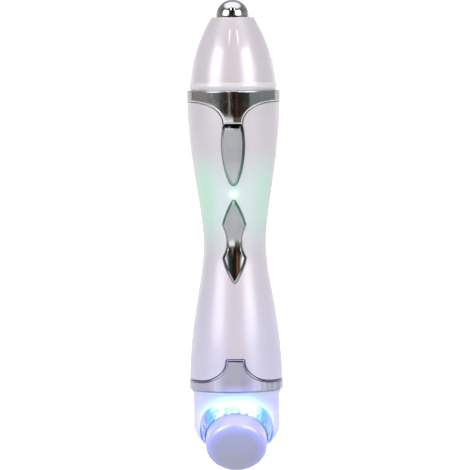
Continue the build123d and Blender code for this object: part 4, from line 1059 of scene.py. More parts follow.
def ring_finish():
    """Clear polycarbonate over the lamps: white hot above, blue with cyan streaks at the sides."""
    material, tree, shader = new_material(
        "clear polycarbonate over lamps", "#7f8ae0", Roughness=0.12, Coat_Weight=1.0, Coat_Roughness=0.05,
    )
    here = place_of(tree)[0]
    across, up, out, _ = plate_parts(tree, here)
    spread = add_node(
        tree, "ShaderNodeMapRange",
        Value=add_node(
            tree, "ShaderNodeMath", {"operation": "ARCTAN2"},
            _0=add_node(tree, "ShaderNodeMath", UNSIGNED, _0=across), _1=up,
        ),
        From_Min=0.0, From_Max=pi,
    )
    light = add_node(
        tree, "ShaderNodeValToRGB",
        {
            "stops": [
                (0.0, "#f0fcff"), (0.15, "#e0f4ff"), (0.23, "#9fd0ff"), (0.28, "#5a9fff"), (0.36, "#8089f6"),
                (0.5, "#7a82ee"), (1.0, "#868be2"),
            ],
            "interpolation": "EASE",
        },
        Fac=spread,
    )
    # Painted shade: dark teal specks among the ribs on the sloping nose, where the glow is also weaker
    nose = add_node(
        tree, "ShaderNodeMath", TIMES,
        _0=add_node(
            tree, "ShaderNodeMapRange",
            Value=add_node(
                tree, "ShaderNodeTexNoise", Vector=here, Scale=1000.0 / 2.4, Detail=2.0, Roughness=0.6,
            ),
            From_Min=0.47, From_Max=0.62,
        ),
        _1=add_node(tree, "ShaderNodeMapRange", Value=out, From_Min=0.0105, From_Max=0.012),
    )
    streaks = add_node(
        tree, "ShaderNodeMath", TIMES,
        _0=add_node(
            tree, "ShaderNodeMapRange",
            Value=add_node(
                tree, "ShaderNodeTexNoise", Vector=here, Scale=1000.0 / 3.0, Detail=3.0, Roughness=0.7,
            ),
            From_Min=0.5, From_Max=0.66,
        ),
        _1=add_node(
            tree, "ShaderNodeMapRange", Value=spread, From_Min=0.2, From_Max=0.36, To_Min=0.0, To_Max=0.25,
        ),
    )
    right = add_node(
        tree, "ShaderNodeMath", TIMES,
        _0=add_node(tree, "ShaderNodeMapRange", Value=across, From_Min=0.005, From_Max=0.0125),
        _1=add_node(tree, "ShaderNodeMapRange", Value=spread, From_Min=0.3, From_Max=0.42),
    )
    for share, shade in (
        (add_node(tree, "ShaderNodeMath", TIMES, _0=nose, _1=0.65), "#4aa3ad"), (streaks, "#a5ecff"),
        (add_node(tree, "ShaderNodeMath", TIMES, _0=right, _1=0.38), "#92ccf6"),
    ):
        light = add_node(tree, "ShaderNodeMix", COLOURS, 2, _0=share, _6=light, _7=shade)
    power = add_node(
        tree, "ShaderNodeMath", TIMES,
        _0=add_node(
            tree, "ShaderNodeMapRange", Value=spread, From_Min=0.1, From_Max=0.4, To_Min=0.8, To_Max=0.28,
        ),
        _1=add_node(
            tree, "ShaderNodeMapRange", Value=nose, From_Min=0.0, From_Max=1.0, To_Min=1.0, To_Max=0.35,
        ),
    )
    link(shader, Base_Color=light, Emission_Color=light, Emission_Strength=power)
    link(
        shader,
        Normal=add_node(
            tree, "ShaderNodeBump",
            Height=add_node(tree, "ShaderNodeTexNoise", Vector=here, Scale=1000.0 / 1.0), Strength=0.5,
            Distance=0.04 * MM,
        ),
    )
    return material


def lens_finish():
    """Small clear lens, lit mint green by the lamp behind it."""
    material, tree, shader = new_material(
        "lit clear lens", "#c9e9d9", Roughness=0.08, Coat_Weight=1.0, Emission_Strength=1.1,
    )
    here = place_of(tree)[0]
    link(
        shader,
        Emission_Color=add_node(
            tree, "ShaderNodeMix", COLOURS, 2, _0=near_lamp(tree, here, 1.5), _6="#9af2c2", _7="#e6ffee",
        ),
    )
    link(
        shader,
        Normal=add_node(
            tree, "ShaderNodeBump",
            Height=add_node(tree, "ShaderNodeTexNoise", Vector=here, Scale=1000.0 / 0.5, Detail=1.0),
            Strength=0.4, Distance=0.01 * MM,
        ),
    )
    return material


PEARL, CHROME, STEEL_PLATE, DOME_STEEL = pearl_finish(), chrome_finish(), plate_finish(), dome_finish()
FROSTED, RING_LIGHT, LENS = frosted_finish(), ring_finish(), lens_finish()


# Body shell, bands and keys ----

# Radius at which flat places round the body are measured, and lines of (distance from the edge, height)
ROUND = 15.0
SHELL_EDGE = rounded([(0, -0.22), (0.02, -0.2), (0.16, -0.02, 0.15), (0.3, 0), (0.5, 0)], 4)
BAND_EDGE = rounded([(0, -0.36), (0.02, -0.33, 0.0), (0.32, -0.03, 0.1), (0.5, 0), (1.0, 0)], 4)
KEY_EDGE = rounded([(0, -0.08), (0.06, 0.0, 0.04), (0.62, 0.46, 0.1), (0.8, 0.5, 0.1), (1.2, 0.5)], 4)
MODE_KEY_EDGE = rounded([(0, -0.08), (0.06, 0.0, 0.04), (0.9, 0.46, 0.1), (1.05, 0.5, 0.1), (1.5, 0.5)], 4)
# Inner and outer radius, bottom and top of the plain rings that line the shell's ends
SHELL_ENDS = (13.7, BAND_BORE, 50.9, 58.2), (14.3, BAND_BORE, -53.3, -45.4)
TONGUE_GAP, KEY_GAP, LAMP_HOLE = 0.22, 0.2, 1.14


def onto_body(flat, height):
    """Flat points (along the turn, z) and heights bent round the body."""
    return bent(body_radius(flat[:, 1]) + height, flat[:, 0] / ROUND, flat[:, 1])


def onto_front(flat, height):
    """Points seen from the front (x, z) and heights set on the body."""
    radius = body_radius(flat[:, 1])
    return np.column_stack([flat[:, 0], -(np.sqrt(radius**2 - flat[:, 0]**2) + height), flat[:, 1]])


def seen_to_flat(line):
    """Points seen from the front (x, z) as flat points on the body (along the turn, z)."""
    line = np.array(line, float)
    turn = np.arcsin(np.clip(line[:, 0] / body_radius(line[:, 1]), -1, 1))
    return np.column_stack([turn * ROUND, line[:, 1]])


def half_ring(inner, outer, low, high):
    """Front half of a plain ring that lines an end of the shell."""
    turns = np.linspace(-pi / 2, pi / 2, 97)
    section = [(inner, low), (outer, low), (outer, high), (inner, high)]
    points, faces = rings([[at_turn(r, a, z) for r, z in section] for a in turns])
    last = len(points) - 4
    return points, faces + [(3, 2, 1, 0), (last, last + 1, last + 2, last + 3)]


def shell_outline():
    """Flat outline of the front half of the shell with the notches for both tongues."""
    edge = ROUND * pi / 2
    top, bottom = UPPER_BAND[0] - 0.04, LOWER_BAND[1] + 0.04
    upper = seen_to_flat([(x, z) for x, z in tongue_side(gap=TONGUE_GAP, **UPPER_TONGUE) if z < top])
    lower = seen_to_flat([(x, z) for x, z in tongue_side(gap=TONGUE_GAP * 0.6, **LOWER_TONGUE) if z > bottom])
    line = np.vstack([
        [(edge, bottom), (edge, top)], upper, (upper * MIRROR)[::-1],
        [(-edge, top), (-edge, bottom)], lower * MIRROR, lower[::-1],
    ])
    return anticlockwise(resampled(line, 0.3))


holes = [resampled(grown(key, KEY_GAP), 0.25) for key in (mode_key_outline(), rocker_outline())]
turns = np.linspace(0, 2 * pi, 36, endpoint=False)
holes.append([(LAMP_HOLE * cos(a), LAMP_HEIGHT + LAMP_HOLE * sin(a)) for a in turns])
front_shell = curved_plate(
    "front_shell_body", shell_outline(), [anticlockwise(seen_to_flat(hole)) for hole in holes], onto_body,
    SHELL_EDGE, depth=1.8, spacing=0.9, material=PEARL,
)
wear(front_shell, "handle", "front_shell")
for number, sizes in enumerate(SHELL_ENDS, 1):
    lining = outward(new_mesh(f"shell_end_{number}", *half_ring(*sizes), PEARL))
    wear(lining, "handle", "front_shell")


def band(name, low, high, radius, tongue, stands_for):
    """Chrome band all round the body with its tongue, as one bent plate."""
    upward = tongue["shoulder"] > tongue["end"]
    edge = radius * pi
    right = np.array(tongue_side(**tongue))
    right = np.column_stack([np.arcsin(np.clip(right[:, 0] / radius, -1, 1)) * radius, right[:, 1]])
    near_side, far_side, up = (low, high, 1) if upward else (high, low, -1)
    line = np.vstack([
        [(edge, far_side), (edge, near_side)], right,
        (right * MIRROR)[::-1], [(-edge, near_side), (-edge, far_side)],
    ])

    def lift(flat, height):
        # The edge away from the tongue rolls in, and the upper tongue follows the waist towards its end
        from_far = up * (far_side - flat[:, 1])
        rim = np.where(height > -1, np.interp(from_far, [0, 0.04, 0.15, 0.3], [-0.16, -0.1, -0.02, 0]), 0)
        draw = np.clip(up * (near_side - flat[:, 1]) - 3.4, 0, None)**2 * (0.004 if upward else 0.0)
        return bent(radius + height + rim - draw, flat[:, 0] / radius, flat[:, 1])

    plate = curved_plate(
        name, anticlockwise(resampled(line, 0.3)), [], lift, BAND_EDGE, depth=radius - BAND_BORE - 0.05,
        spacing=0.6, material=CHROME, seams=(-edge, edge), far=far_side,
    )
    wear(plate, "handle", stands_for)


band("upper_band_plated", *UPPER_BAND, UPPER_TONGUE, "upper_band")
band("lower_band_plated", *LOWER_BAND, LOWER_TONGUE, "lower_band")
for name, outline, edge, body, stands_for in (
    ("mode_key_plated", mode_key_outline(), MODE_KEY_EDGE, "mode_key", "mode_button"),
    ("rocker_plated", rocker_outline(), KEY_EDGE, "rocker", "power_rocker"),
):
    outline = resampled(outline, 0.22)
    key = curved_plate(name, outline, [], onto_front, edge, depth=1.5, spacing=0.5, material=CHROME)
    wear(key, body, stands_for)


# Turned pieces ----

def cap_line():
    """Side line of the cap: inner sleeve, lip, ogive, rim, bore and shelf for the dome, hollow inside."""
    ogive = smooth_through([
        (61.2, 15.93), (64.8, 15.55), (67.0, 15.15), (69.2, 14.75), (71.5, 14.13), (73.7, 13.4),
        (75.9, 12.55), (78.2, 11.6), (80.4, 10.6), (82.7, 9.35), (85.3, 7.95),
    ])
    outside = [(float(ogive(h)), h) for h in np.linspace(61.5, 84.5, 70)]
    inside_wall = [(float(ogive(h)) - 1.6, h) for h in np.linspace(79.5, 67.0, 20)]
    bore = TIP_RADIUS + 0.08
    return rounded([
        (13.9, CAP_BASE), (15.9, CAP_BASE, 0.25), (16.4, 59.9, 0.5), (16.3, 60.9, 0.3), (15.97, 61.2, 0.1),
        *outside, (7.95, CAP_TOP, 0.5), (TIP_RADIUS + 0.22, CAP_TOP, 0.2), (bore, CAP_TOP - 0.3),
        (bore, DOME_SHELF), (1.6, DOME_SHELF), (1.6, 79.5), *inside_wall, (13.9, 66.5),
    ], 8)


wear(turned("cap_ogive", cap_line(), PEARL, steps=160), "cap", "top_cap")
dome = [(TIP_RADIUS * sin(a), TIP_CENTRE + TIP_RADIUS * cos(a)) for a in np.linspace(0, pi / 2, 33)]
dome += [(TIP_RADIUS, DOME_SHELF), (1.5, DOME_SHELF), (1.5, 76.6), (0, 76.6)]
wear(turned("dome_polished", dome, DOME_STEEL), "cap", "dome_tip")

plate = rounded([
    (0, PLATE_FACE), (4.0, PLATE_FACE), (PLATE_RADIUS - 0.02, PLATE_FACE, 1.7),
    (PLATE_RADIUS - 0.25, 7.2, 0.1), (10.1, 7.2), (10.1, 19.9), (1.5, 19.9), (1.5, 14.8), (0, 14.8),
], 12)
wear(turned("plate_polished", plate, STEEL_PLATE, PLATE_PLACE), "handle", "treatment_plate")

ring_line = rounded([
    (11.55, 5.8), (13.5, 5.8), (13.5, 9.5, 0.3), (12.0, 14.1, 0.25), (11.55, 14.1, 0.1), (11.55, 9.0),
], 5)
ring = turned("ring_clear", ring_line, RING_LIGHT, PLATE_PLACE, steps=112)
wear(ring, "handle", "light_ring")

lens_line = [(0, 1.02), (0.7, 1.0), (0.95, 0.88), (1.06, 0.6), (1.06, -1.4), (0.85, -1.6), (0, -1.6)]
lens_place = Matrix.Translation(Vector((0, -12.45, LAMP_HEIGHT)) * MM) @ Matrix.Rotation(radians(90), 4, "X")
lens = turned("signal_lens_lit", lens_line, LENS, lens_place, steps=32)
wear(lens, "handle", "signal_lens")


def rib_tree():
    """Node tree that sets small rounded ribs round a circle, each leant along the ring's sloping nose."""
    sizes = dict.fromkeys(("Ring_radius", "Height", "Lean", "Width", "Thickness", "Length"), "Float")
    tree, given = new_tree("ribs_round_the_ring", "Stand in", "Ribs", Count="Int", **sizes)
    circle = add_node(
        tree, "GeometryNodeMeshCircle", {"fill_type": "NONE"},
        Vertices=(given, "Count"), Radius=(given, "Ring radius"),
    )
    raised = add_node(tree, "ShaderNodeCombineXYZ", Z=(given, "Height"))
    at_height = add_node(tree, "GeometryNodeSetPosition", Geometry=circle, Offset=raised)
    place = add_node(tree, "GeometryNodeInputPosition")
    parts = add_node(tree, "ShaderNodeSeparateXYZ", _0=place)[0]
    turn = add_node(tree, "ShaderNodeMath", {"operation": "ARCTAN2"}, _0=(parts, 1), _1=(parts, 0))
    angles = add_node(tree, "ShaderNodeCombineXYZ", Y=(given, "Lean"), Z=turn)
    rotation = add_node(tree, "FunctionNodeEulerToRotation", Euler=angles)
    size = add_node(
        tree, "ShaderNodeCombineXYZ", X=(given, "Thickness"), Y=(given, "Width"), Z=(given, "Length"),
    )
    rib = add_node(tree, "GeometryNodeMeshUVSphere", Segments=12, Rings=8, Radius=1.0)
    set_out = add_node(
        tree, "GeometryNodeInstanceOnPoints",
        Points=at_height, Instance=rib, Rotation=rotation, Scale=size,
    )
    return ended(tree, given, set_out)


rib_base = bpy.data.meshes.new("rib_base")
rib_base.from_pydata([(0, 0, 0)], [], [])
ribs = grown_by_nodes("ring_ribs", rib_base, rib_tree(), {
    "Count": 28, "Ring radius": 12.25 * MM, "Height": 12.8 * MM, "Lean": radians(-18),
    "Width": 1.2 * MM, "Thickness": 0.38 * MM, "Length": 2.0 * MM, "Finish": RING_LIGHT,
}, PLATE_PLACE)
wear(ribs, "handle", "light_ring")


# Head ----

def to_plate(point):
    """A point's distance along the plate's axis, its gap from it and its turn about it."""
    from_foot = Vector(point) - PLATE_FOOT
    along = from_foot.dot(PLATE_AXIS)
    across = from_foot - PLATE_AXIS * along
    return along, across.length, atan2(across.x, across.dot(PLATE_UP))


def from_plate(along, gap, turn):
    """The point at a distance along the plate's axis, a gap from it and a turn about it."""
    return PLATE_FOOT + PLATE_AXIS * along + (PLATE_ACROSS * sin(turn) + PLATE_UP * cos(turn)) * gap


def head_skin_line():
    """Heights and radii down the head's outside, evenly spaced."""
    line = [(HEAD_RADIUS, z) for z in np.linspace(HEAD_SIDE_TOP, HEAD_SIDE_END, 40)]
    for a in np.linspace(0, pi / 2, 90)[1:]:
        line.append((HEAD_RADIUS * cos(a), HEAD_SIDE_END - (HEAD_SIDE_END - HEAD_END) * sin(a)))
    return resampled(line, 0.05, closed=False)


def head_rows(columns=240, skin_rows=60):
    """Rows of points over the head: spigot, flange, skin down to the bore's edge, lip, bore and hollow."""
    skin = head_skin_line()
    turns = [2 * pi * k / columns for k in range(columns)]
    spigot = rounded([
        (12.6, -50.5), (12.6, -45.6), (14.2, -45.6), (14.2, HEAD_TOP), (HEAD_RADIUS, HEAD_TOP),
        (HEAD_FLANGE_RADIUS, HEAD_TOP, 0.2), (HEAD_FLANGE_RADIUS, HEAD_TOP - 1.0, 0.25),
        (HEAD_RADIUS + 0.08, HEAD_TOP - 1.06), (HEAD_RADIUS, HEAD_SIDE_TOP),
    ], 5)
    rows = [[at_turn(r, a, z) for a in turns] for r, z in spigot]
    cuts = []
    lip = 0.4
    for a in turns:
        seen = [to_plate(at_turn(r, a, z)) for r, z in skin]
        gaps = [gap if along > 0 else 2 * HEAD_RADIUS for along, gap, turn in seen]
        last = next((k for k, gap in enumerate(gaps) if gap < RING_BORE + lip), len(skin) - 1)
        share = (gaps[last - 1] - RING_BORE - lip) / max(gaps[last - 1] - gaps[last], 1e-9) if last else 0.0
        cuts.append(max(last - 1 + min(max(share, 0), 1), 1.0))
    index = np.arange(len(skin))
    for k in range(1, skin_rows + 1):
        reached = [cut * k / skin_rows for cut in cuts]
        radii, heights = (np.interp(reached, index, part) for part in skin.T)
        rows.append([at_turn(r, a, z) for r, a, z in zip(radii, turns, heights)])
    edge = [to_plate(p) for p in rows[-1]]
    before = [Vector(p) for p in rows[-2]]
    wall = []
    for (along, gap, turn), last, previous in zip(edge, rows[-1], before):
        tangent = (Vector(last) - previous).normalized()
        reach = (RING_BORE - gap) / min(tangent.dot((from_plate(0, 1, turn) - PLATE_FOOT)), -0.2)
        corner = Vector(last) + tangent * reach
        below = from_plate(to_plate(corner)[0] - lip, RING_BORE, turn)
        wall.append((Vector(last), corner, below, from_plate(1.0, RING_BORE, turn)))
    for k in range(1, 7):
        t = k / 6
        rows.append([tuple(a * (1 - t)**2 + b * 2 * t * (1 - t) + c * t**2) for a, b, c, foot in wall])
    for share in (0.4, 1.0):
        rows.append([tuple(top * (1 - share) + foot * share) for a, b, top, foot in wall])
    return rows


head = outward(new_mesh("head_milky", *rings(head_rows(), closed_along=True), FROSTED))
wear(head, "handle", "head_shell")


# Carried-over construction pieces ----

def plain_finish(name, base, second, size_mm, rough, metallic=0.0, coat=0.0):
    """Finish with two close shades in patches of a size, uneven gloss and a fine relief."""
    material, tree, shader = new_material(name, base, Metallic=metallic, Coat_Weight=coat, Coat_Roughness=0.1)
    here = place_of(tree)[0]
    patches = add_node(
        tree, "ShaderNodeMapRange",
        Value=add_node(
            tree, "ShaderNodeTexNoise", Vector=here, Scale=1000.0 / size_mm, Detail=3.0, Roughness=0.6,
        ),
        From_Min=0.35, From_Max=0.65,
    )
    gloss = add_node(
        tree, "ShaderNodeMapRange",
        Value=add_node(tree, "ShaderNodeTexNoise", Vector=here, Scale=1000.0 / (size_mm * 0.6)), From_Min=0.3,
        From_Max=0.7, To_Min=rough * 0.8, To_Max=rough * 1.25,
    )
    link(
        shader, Base_Color=add_node(tree, "ShaderNodeMix", COLOURS, 2, _0=patches, _6=base, _7=second),
        Roughness=gloss,
    )
    link(
        shader,
        Normal=add_node(
            tree, "ShaderNodeBump",
            Height=add_node(tree, "ShaderNodeTexNoise", Vector=here, Scale=1000.0 / 0.5), Strength=0.6,
            Distance=0.004 * MM,
        ),
    )
    return material


def wound_finish(name, base, second, pitch_mm, rough, metallic, axis):
    """Finish with fine lines across one axis, as drawn wire, a printed jacket or flat cable has."""
    material, tree, shader = new_material(name, base, Metallic=metallic)
    here = place_of(tree)[0]
    lines = add_node(
        tree, "ShaderNodeTexWave", {"wave_type": "BANDS", "bands_direction": axis}, 1, Vector=here,
        Scale=1000.0 / pitch_mm / 20, Distortion=0.6, Detail=1.0,
    )
    gloss = add_node(
        tree, "ShaderNodeMapRange",
        Value=add_node(tree, "ShaderNodeTexNoise", Vector=here, Scale=1000.0 / 2.0), From_Min=0.3,
        From_Max=0.7, To_Min=rough * 0.8, To_Max=rough * 1.2,
    )
    link(
        shader, Base_Color=add_node(tree, "ShaderNodeMix", COLOURS, 2, _0=lines, _6=base, _7=second),
        Roughness=gloss,
    )
    link(shader, Normal=add_node(tree, "ShaderNodeBump", Height=lines, Strength=0.4, Distance=0.01 * MM))
    return material


FINISHES = {
    "pearl_shell": PEARL,
    "inner_plastic": plain_finish("moulded ABS, satin", "#d9d8d6", "#cfcecd", 3.0, 0.5),
    "rubber": plain_finish("silicone rubber, matt", "#4a4b4e", "#3f4043", 1.5, 0.75),
    "circuit_board": plain_finish("green solder mask", "#1d5b3a", "#17492f", 2.2, 0.35, coat=0.6),
    "black_plastic": plain_finish("black nylon", "#1b1c1e", "#242528", 1.2, 0.45),
    "switch_metal": plain_finish("tinned sheet steel", "#b7b9bb", "#a6a8aa", 2.0, 0.3, 1.0),
    "steel": plain_finish("zinc plated steel", "#b4b6ba", "#9fa1a6", 1.0, 0.28, 1.0),
    "spring_steel": wound_finish("drawn spring wire", "#a9abae", "#8f9194", 0.15, 0.25, 1.0, "Z"),
    "contact_metal": plain_finish("nickel plated brass", "#cfc7b4", "#c2b8a1", 1.6, 0.22, 1.0),
    "cell_jacket": wound_finish("printed cell jacket", "#3a4f7a", "#32456b", 1.0, 0.35, 0.0, "Z"),
    "green_lamp": plain_finish("tinted lamp epoxy", "#8fe0b4", "#79d3a2", 0.8, 0.15, coat=0.8),
    "blue_lamp": plain_finish("lamp package with blue phosphor", "#cfd6ff", "#b9c2fb", 0.6, 0.3),
    "ribbon": wound_finish("grey flat cable", "#b9bcc2", "#989ba2", 0.6, 0.5, 0.0, "X"),
}

for name, node in nodes.items():
    if name in replaced:
        continue
    for place in node.material_slots:
        given = place.material.name if place.material else ""
        finish = next((made for key, made in FINISHES.items() if key in given), None)
        if finish:
            place.link = "OBJECT"
            place.material = finish


# Studio, in metres ----

FLOOR = -0.0842
SWEEP_FOOT, SWEEP_RADIUS = 1.6, 0.6


def stripes(tree, turn, half_turn, marks):
    """Stripes all round from marks of (degrees to the right of straight in front, hex colour)."""
    stops = [(0.5 + degrees / 360, shade) for degrees, shade in marks]
    share = add_node(tree, "ShaderNodeMapRange", Value=turn, From_Min=-half_turn, From_Max=half_turn)
    return add_node(tree, "ShaderNodeValToRGB", {"stops": stops, "interpolation": "LINEAR"}, Fac=share)


def studio_floor():
    """Wide pale floor that curves up behind; the camera sees it almost white, shadow and all."""
    line = [(y, FLOOR) for y in np.linspace(-1.9, SWEEP_FOOT, 24)]
    for a in np.linspace(0, pi / 2, 12)[1:]:
        line.append((SWEEP_FOOT + SWEEP_RADIUS * sin(a), FLOOR + SWEEP_RADIUS * (1 - cos(a))))
    rows = [[(x / MM, y / MM, z / MM) for y, z in line] for x in np.linspace(-2.4, 2.4, 13)]
    material, tree, shader = new_material(
        "pale paper sweep", "#eeeeee", Roughness=0.7, Emission_Color=colour("#fffdfa"),
    )
    here, x, y = place_of(tree)[:3]
    paper = add_node(
        tree, "ShaderNodeMix", COLOURS, 2,
        _0=add_node(
            tree, "ShaderNodeMapRange",
            Value=add_node(tree, "ShaderNodeTexNoise", Vector=here, Scale=1000.0 / 40.0), From_Min=0.3,
            From_Max=0.7,
        ),
        _6="#ececec", _7="#f0f0f0",
    )
    fan = stripes(
        tree,
        add_node(
            tree, "ShaderNodeMath", {"operation": "ARCTAN2"}, _0=x,
            _1=add_node(tree, "ShaderNodeMath", TIMES, _0=y, _1=-1.0),
        ),
        pi,
        (
            (-150, "#f0f0f0"), (-112, "#e6e6e6"), (-104, "#dcdae6"), (-72, "#d0cede"), (-60, "#dad8e6"),
            (-52, "#ffffff"), (-42, "#f0f0f0"), (-30, "#cfcde0"), (-16, "#dcdbe6"), (-6, "#e4e4e4"),
            (8, "#e4e4e4"), (16, "#d2cee6"), (34, "#cac6e2"), (46, "#f2f1fa"), (62, "#fafaff"),
            (66, "#a9a8b6"), (69, "#f4f4fa"), (78, "#ececf4"), (82, "#a09fac"), (88, "#ececf2"),
            (98, "#ababb6"), (106, "#ececec"), (130, "#9d9ca4"), (140, "#f0f0f0"),
        ),
    )
    # Mirrors see stripes near the object's foot, the far end lit, and ahead a bright sheet beside a bench
    mirrored = add_node(tree, "ShaderNodeLightPath", output="Is Glossy Ray")
    ahead = add_node(tree, "ShaderNodeMapRange", Value=y, From_Min=-0.7, From_Max=-0.85)
    paper = add_node(
        tree, "ShaderNodeMix", COLOURS, 2,
        _0=add_node(
            tree, "ShaderNodeMath", TIMES,
            _0=add_node(
                tree, "ShaderNodeMath", TIMES, _0=mirrored,
                _1=add_node(
                    tree, "ShaderNodeMapRange", Value=add_node(tree, "ShaderNodeMath", UNSIGNED, _0=y),
                    From_Min=0.75, From_Max=0.6,
                ),
            ),
            _1=0.65,
        ),
        _6=paper, _7=fan,
    )
    bench = add_node(
        tree, "ShaderNodeMath", TIMES, _0=ahead,
        _1=add_node(tree, "ShaderNodeMapRange", Value=x, From_Min=-0.04, From_Max=0.06),
    )
    bright_sheet = add_node(
        tree, "ShaderNodeMath", TIMES, _0=ahead,
        _1=add_node(
            tree, "ShaderNodeMapRange", Value=x, From_Min=0.03, From_Max=-0.04, To_Min=0.0, To_Max=1.25,
        ),
    )
    far_end = add_node(
        tree, "ShaderNodeMapRange", Value=y, From_Min=0.9, From_Max=1.3, To_Min=0.0, To_Max=0.6,
    )
    link(
        shader,
        Base_Color=add_node(
            tree, "ShaderNodeMix", COLOURS, 2,
            _0=add_node(tree, "ShaderNodeMath", TIMES, _0=mirrored, _1=bench), _6=paper, _7="#584334",
        ),
        Emission_Strength=add_node(
            tree, "ShaderNodeMath", PLUS,
            _0=add_node(
                tree, "ShaderNodeMath", TIMES,
                _0=add_node(tree, "ShaderNodeLightPath", output="Is Camera Ray"), _1=0.6,
            ),
            _1=add_node(
                tree, "ShaderNodeMath", TIMES, _0=mirrored,
                _1=add_node(tree, "ShaderNodeMath", PLUS, _0=far_end, _1=bright_sheet),
            ),
        ),
    )
    new_mesh("paper_sweep", *rings(rows, closed_round=False), material)


def soft_edged(tree, value, middle, reach, soft):
    """1 within a reach of a middle, falling softly to 0 across it."""
    gap = add_node(tree, "ShaderNodeMath", {"operation": "SUBTRACT"}, _0=value, _1=middle)
    gap = add_node(tree, "ShaderNodeMath", UNSIGNED, _0=gap)
    return add_node(
        tree, "ShaderNodeMapRange", {"interpolation_type": "SMOOTHSTEP"},
        Value=gap, From_Min=reach + soft, From_Max=max(reach - soft, 0),
    )


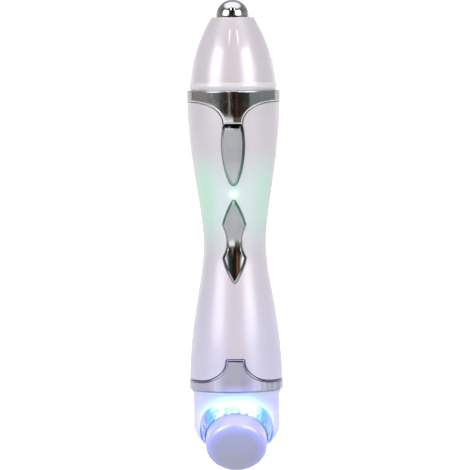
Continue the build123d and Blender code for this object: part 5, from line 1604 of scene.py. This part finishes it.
def studio_world():
    """White to the camera; to mirrors a dim room with warm and slate stripes and soft lights high up."""
    world = bpy.data.worlds.new("studio")
    bpy.context.scene.world = world
    world.use_nodes = True
    tree = world.node_tree
    shader = tree.nodes["Background"]
    x, y, z = place_of(tree, "Generated")[1:]
    turn = add_node(
        tree, "ShaderNodeMath", TIMES,
        _0=add_node(
            tree, "ShaderNodeMath", {"operation": "ARCTAN2"}, _0=x,
            _1=add_node(tree, "ShaderNodeMath", TIMES, _0=y, _1=-1.0),
        ),
        _1=180 / pi,
    )
    rise = add_node(
        tree, "ShaderNodeMath", TIMES, _0=add_node(tree, "ShaderNodeMath", {"operation": "ARCSINE"}, _0=z),
        _1=180 / pi,
    )
    level = stripes(
        tree, turn, 180,
        [
            (-180, "#cbcbd0"), (-122, "#cbcbd0"), (-120.5, "#3a3a3c"), (-116, "#9b9893"), (-71.5, "#9b9893"),
            (-36.5, "#747674"), (-31.5, "#4a4a44"), (-18.5, "#33322e"), (-15.5, "#2c2522"),
            (-13.2, "#7a4440"), (-11.2, "#4a3a36"), (-9.1, "#b8aeaa"), (-7, "#5a5250"), (-1.5, "#221f1e"),
            (1.5, "#1e2020"), (5, "#1f1c1b"), (9.3, "#6e3a38"), (12.5, "#2e2320"), (23.5, "#33352b"),
            (38.5, "#3c3e34"), (44.5, "#8a9092"), (81.5, "#939797"), (119.5, "#8f9494"), (122, "#3a3a3c"),
            (124, "#cbcbd0"), (180, "#cbcbd0"),
        ],
    )
    upper = stripes(
        tree, turn, 180,
        [
            (-180, "#b9b9bc"), (-125, "#b0b0b2"), (-80, "#8d8d8b"), (-55, "#747472"), (-38, "#5d605f"),
            (-24, "#4d5150"), (-16, "#3c3e3d"), (-8, "#2a2826"), (-1, "#1f1a18"), (4, "#3a281f"),
            (8, "#7d543e"), (11, "#9a6b50"), (14, "#583a2b"), (18, "#2a211d"), (28, "#24201d"),
            (40, "#33332f"), (52, "#666b6c"), (80, "#8d9292"), (125, "#b0b0b2"), (180, "#b9b9bc"),
        ],
    )
    above = stripes(
        tree, turn, 180,
        [
            (-180, "#b9b9bc"), (-125, "#98989a"), (-80, "#767674"), (-50, "#565654"), (-25, "#32332e"),
            (0, "#262722"), (25, "#32332e"), (50, "#565a59"), (80, "#767a7a"), (125, "#98989a"),
            (180, "#b9b9bc"),
        ],
    )
    room = add_node(
        tree, "ShaderNodeMix", COLOURS, 2,
        _0=add_node(tree, "ShaderNodeMapRange", Value=rise, From_Min=1.5, From_Max=5.0), _6=level, _7=upper,
    )
    room = add_node(
        tree, "ShaderNodeMix", COLOURS, 2,
        _0=add_node(tree, "ShaderNodeMapRange", Value=rise, From_Min=15.0, From_Max=21.0), _6=room, _7=above,
    )
    lit = add_node(tree, "ShaderNodeVectorMath", {"operation": "SCALE"}, _0=room, Scale=1.5)
    # Two tall soft lights, and two small warm ones above them: middle, reach and soft edge in degrees
    for across, up, tint, strength in (
        ((-50, 17, 13), (21.75, 15.6, 4.6), "#fffdf8", 9.0),
        ((45, 17, 13), (21.75, 15.6, 4.6), "#fffdf8", 9.0),
        ((-13, 3, 1.5), (49, 6, 2), "#fff3d6", 14.0),
        ((23, 3, 1.5), (48, 6, 2), "#fff3d6", 14.0),
    ):
        share = add_node(
            tree, "ShaderNodeMath", TIMES, _0=soft_edged(tree, turn, *across), _1=soft_edged(tree, rise, *up),
        )
        lit = add_node(
            tree, "ShaderNodeVectorMath", {"operation": "ADD"}, _0=lit,
            _1=add_node(
                tree, "ShaderNodeVectorMath", {"operation": "SCALE"}, _0=colour(tint)[:3],
                Scale=add_node(tree, "ShaderNodeMath", TIMES, _0=share, _1=strength),
            ),
        )
    # A bar of light right overhead
    overhead = add_node(
        tree, "ShaderNodeMath", TIMES,
        _0=add_node(
            tree, "ShaderNodeMapRange", Value=add_node(tree, "ShaderNodeMath", UNSIGNED, _0=y), From_Min=0.5,
            From_Max=0.42,
        ),
        _1=add_node(tree, "ShaderNodeMapRange", Value=z, From_Min=0.7, From_Max=0.82),
    )
    lit = add_node(
        tree, "ShaderNodeMix", COLOURS, 2, _0=overhead, _6=lit,
        _7=add_node(
            tree, "ShaderNodeVectorMath", {"operation": "SCALE"}, _0=colour("#f2f3fb")[:3], Scale=2.7,
        ),
    )
    dim = add_node(
        tree, "ShaderNodeMix", COLOURS, 2, _0=add_node(tree, "ShaderNodeLightPath", output="Is Glossy Ray"),
        _6="#a3a3a3", _7=lit,
    )
    link(
        shader,
        Color=add_node(
            tree, "ShaderNodeMix", COLOURS, 2,
            _0=add_node(tree, "ShaderNodeLightPath", output="Is Camera Ray"), _6=dim, _7="#ffffff",
        ),
    )


def softbox(name, place, aim, width, height, power):
    """Soft light that mirrors don't see."""
    light = bpy.data.lights.new(name, "AREA")
    light.shape, light.size, light.size_y = "RECTANGLE", width, height
    light.energy = power
    lamp = new_object(name, light)
    lamp.location = place
    lamp.rotation_euler = (Vector(aim) - Vector(place)).to_track_quat("-Z", "Y").to_euler()
    lamp.visible_glossy = False


studio_floor()
studio_world()
KEY_TURN, KEY_DISTANCE = radians(50), 1.2
for name, side in (("left", -1), ("right", 1)):
    place = (side * KEY_DISTANCE * sin(KEY_TURN), -KEY_DISTANCE * cos(KEY_TURN), 0.7)
    softbox(f"key_{name}", place, (0, 0, 0.4), width=0.72, height=1.15, power=12.0)
    softbox(f"rim_{name}", (side * 1.1, 0.9, 0.7), (0, 0, 0), width=0.7, height=0.9, power=3.0)
softbox("overhead", (0, 0.36, 1.4), (0, 0, 0), width=0.9, height=0.6, power=8.0)


# Camera ----

VIEW_DISTANCE, VIEW_HEIGHT, VIEW_WIDTH = 1.7, 0.102, 0.175
VIEW_TURN, VIEW_ROLL = radians(1.0), radians(-0.63)
VIEW_AIM = Vector((0.00007, 0, 0.0041))


def studio_camera():
    """Long lens a little above the waist, leant as the object leans in view."""
    camera = bpy.data.cameras.new("view")
    camera.sensor_fit = "HORIZONTAL"
    camera.angle = 2 * atan2(VIEW_WIDTH / 2, VIEW_DISTANCE)
    lens = new_object("view", camera)
    place = Vector((sin(VIEW_TURN) * VIEW_DISTANCE, -cos(VIEW_TURN) * VIEW_DISTANCE, VIEW_HEIGHT))
    aimed = (VIEW_AIM - place).to_track_quat("-Z", "Y").to_matrix().to_4x4()
    lens.matrix_world = Matrix.Translation(place) @ aimed @ Matrix.Rotation(VIEW_ROLL, 4, "Z")
    bpy.context.scene.camera = lens


studio_camera()
bpy.context.scene.view_settings.view_transform = "Standard"
